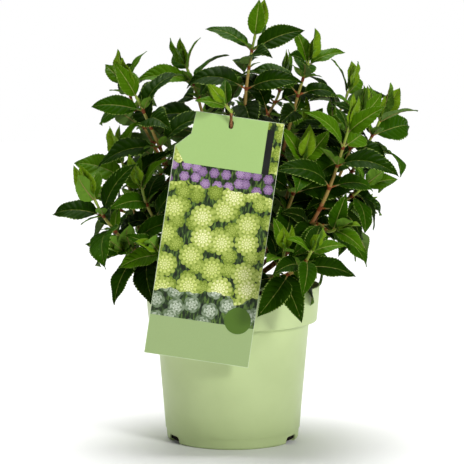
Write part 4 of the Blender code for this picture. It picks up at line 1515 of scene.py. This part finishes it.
def rosettes(graph, where, pitch, shift, cover, petals, colours, light):
    """Round blooms of ringed petals at scattered centres: their colour, and where they are."""
    calc = graph.calc
    aside = {0: where, 1: (shift[0] * pitch, shift[1] * pitch, 0)}
    moved = graph.add("VectorMath", aside, operation="ADD").outputs[0]
    cell = graph.cells(1 / pitch, where=moved, randomness=0.6, dimensions="2D").outputs
    off = graph.add("VectorMath", {0: moved, 1: cell["Position"]}, operation="SUBTRACT").outputs[0]
    parts = graph.add("SeparateXYZ", {"Vector": off}).outputs
    turns = calc("MULTIPLY", calc("ARCTAN2", parts["Y"], parts["X"]), petals / tau)
    out = calc("DIVIDE", cell["Distance"], cover)
    rings = calc("MULTIPLY", calc("POWER", out, 0.8), RINGS)
    staggered = calc("FRACT", calc("MULTIPLY_ADD", calc("FLOOR", rings), 0.5, turns))
    side = calc("ABSOLUTE", calc("SUBTRACT", staggered, 0.5))
    narrow = calc("SUBTRACT", 1.0, calc("POWER", calc("MULTIPLY", side, 2.0), 2.5))
    petal = calc("MULTIPLY", narrow, calc("MULTIPLY_ADD", calc("FRACT", rings), 0.6, 0.4))
    ball = calc("SUBTRACT", 1.0, calc("MULTIPLY", calc("POWER", out, 2.0), 0.55))
    grain = calc("MULTIPLY", calc("SUBTRACT", graph.noise(900, 2, where), 0.5), 0.25)
    shade = calc("MULTIPLY", calc("MULTIPLY_ADD", petal, 0.62, 0.38), ball)
    own = graph.add("SeparateColor", {"Color": cell["Color"]}).outputs[0]
    varied = calc("MULTIPLY", calc("MULTIPLY_ADD", own, 0.34, 0.8), light)
    colour = graph.ramp(calc("MULTIPLY", calc("ADD", shade, grain), varied), colours)
    edge = calc("MULTIPLY_ADD", narrow, 0.07, cover - 0.07)
    return colour, calc("LESS_THAN", cell["Distance"], edge)


# The scene round the plant

def make_camera():
    """The photograph's view: from the front, just below the crown's top, through a long lens."""
    camera = new_object("camera", bpy.data.cameras.new("camera"))
    camera.data.lens = LENS
    camera.data.clip_end = FAR
    camera.location = CAMERA
    camera.rotation_euler = (radians(90 - CAMERA_DIP), 0, 0)
    bpy.context.scene.camera = camera


def make_stage():
    """A white floor and an even room that looks white and gives only a little light."""
    grid = bmesh.new()
    bmesh.ops.create_circle(grid, cap_ends=True, segments=FLOOR_SIDES, radius=FLOOR_RADIUS)
    mesh = bpy.data.meshes.new("floor")
    grid.to_mesh(mesh)
    grid.free()
    graph = Graph("floor", FLOOR_WHITE, 0.9, 0.1)
    graph.bump(graph.noise(6, 2), 0.02, 1 * MM)
    mesh.materials.append(graph.material)
    ground = new_object("floor", mesh)
    ground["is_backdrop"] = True

    world = bpy.data.worlds.new("room")
    world.use_nodes = True
    tree = world.node_tree
    tree.nodes.clear()
    both = tree.nodes.new("ShaderNodeMixShader")
    path = tree.nodes.new("ShaderNodeLightPath")
    tree.links.new(path.outputs["Is Camera Ray"], both.inputs[0])
    for socket, strength in ((1, ROOM_LIGHT), (2, 1.0)):
        white = tree.nodes.new("ShaderNodeBackground")
        white.inputs["Color"].default_value = (1, 1, 1, 1)
        white.inputs["Strength"].default_value = strength
        tree.links.new(white.outputs[0], both.inputs[socket])
    out = tree.nodes.new("ShaderNodeOutputWorld")
    tree.links.new(both.outputs[0], out.inputs[0])
    bpy.context.scene.world = world


def make_lights():
    """Two round lamps before the plant and a wide soft light from above."""
    for name, place, size, power in LIGHTS:
        lamp = bpy.data.lights.new(name, "AREA")
        lamp.shape = "DISK"
        lamp.size = size
        lamp.energy = power
        body = new_object(name, lamp)
        body.location = place
        body.rotation_euler = (Vector(AIM) - Vector(place)).to_track_quat("-Z", "Y").to_euler()
    sun = bpy.data.lights.new("top", "SUN")
    sun.energy = SUN
    sun.angle = radians(SUN_SPREAD)
    body = new_object("top", sun)
    body.rotation_euler = [radians(angle) for angle in (*SUN_TILT, 0)]


def set_view():
    """Plain display colours, so that white stays white and greens stay clear."""
    bpy.context.scene.view_settings.view_transform = "Standard"
    bpy.context.scene.view_settings.look = "None"


def finish_piece(body, slot, *nodes):
    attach(body, "root")
    if nodes:
        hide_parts(*nodes)


def dress_pot():
    finish_piece(make_pot(), "pot_plastic", "pot")
    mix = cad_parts["potting_mix"]
    shades = [peat_material(name, colours) for name, colours in PEATS.items()]
    # The mix's body takes the darkest peat, partly painted shade where it shows through the foot notches.
    for slot in mix.material_slots:
        slot.material = shades[0]
    crumbs = make_crumbs().make("mix_crumbs", shades, sharp=CRUMB_SHARP)
    finish_piece(crumbs, "potting_mix")


def dress_label():
    card, *prints = make_label()
    finish_piece(card, "label_card", "label")
    for body in prints:
        finish_piece(body, "label_card")


def dress_plant():
    placed = []
    for name in ("pot", "potting_mix", "label", "trunk"):
        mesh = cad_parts[name].data
        points = [vertex.co.copy() for vertex in mesh.vertices]
        placed.append(body_of(name, points, [tuple(face.vertices) for face in mesh.polygons]))
    grown = grow_stems()
    for name, (bough, stems) in grown.items():
        placed.append(body_of("bough_" + name, *stem_solid(bough, BOUGH_SIDES)))
        placed += [body_of(name, *stem_solid(stem, TWIG_SIDES)) for stem in stems]
    leaves = grow_leaves(grown, placed)
    older_pairs(grown, leaves, placed)
    axil_leaves(grown, leaves, placed)
    bud_leaves(grown, leaves)

    bark = bark_material()
    finish_piece(make_trunk().make("stump_bark", [bark]), "bark", "trunk")
    limbs = Piece()
    for index, (bough, _) in enumerate(grown.values()):
        add_limb(limbs, bough, index)
    finish_piece(limbs.make("limb_bark", [bark]), "bark", *["bough_" + name for name in grown])

    stem_shades = [stem_material(*shade) for shade in STEM_SHADES]
    petiole_shades = [stem_material(*shade) for shade in PETIOLE_SHADES]
    tissue = [leaf_material(f"{part} {index}", colour, *LEAF_SHEEN[index])
              for index, shades in enumerate(LEAF_SHADES)
              for part, colour in zip(("leaf", "vein", "rib"), shades)]
    tissue += [leaf_material(*shade) for shade in UNDERSIDES]
    tissue.append(leaf_material("leaf margin", MARGIN, 0.5, 0.1))

    for name, (_, stems) in grown.items():
        blades, petioles = make_leaves(name, leaves[name])
        finish_piece(blades.make("leaves_" + name, tissue, sharp=LEAF_SHARP), "leaf", "foliage_" + name)
        finish_piece(petioles.make("petioles_" + name, petiole_shades), "leaf")
        twigs = Piece()
        rng = random.Random("buds " + name)
        for index, (shoot, stem) in enumerate(zip(MASSES[name].shoots, stems)):
            nodes = add_stem(twigs, stem, shoot, index == 0)
            add_buds(twigs, stem, shoot, nodes, rng)
        finish_piece(twigs.make("twigs_" + name, stem_shades), "bark")


make_camera()
make_stage()
make_lights()
set_view()
dress_pot()
dress_label()
dress_plant()

visual_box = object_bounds()
boxes = {"cad": cad_box, "visual": visual_box}
{name: [list(corner) for corner in box] for name, box in boxes.items()}
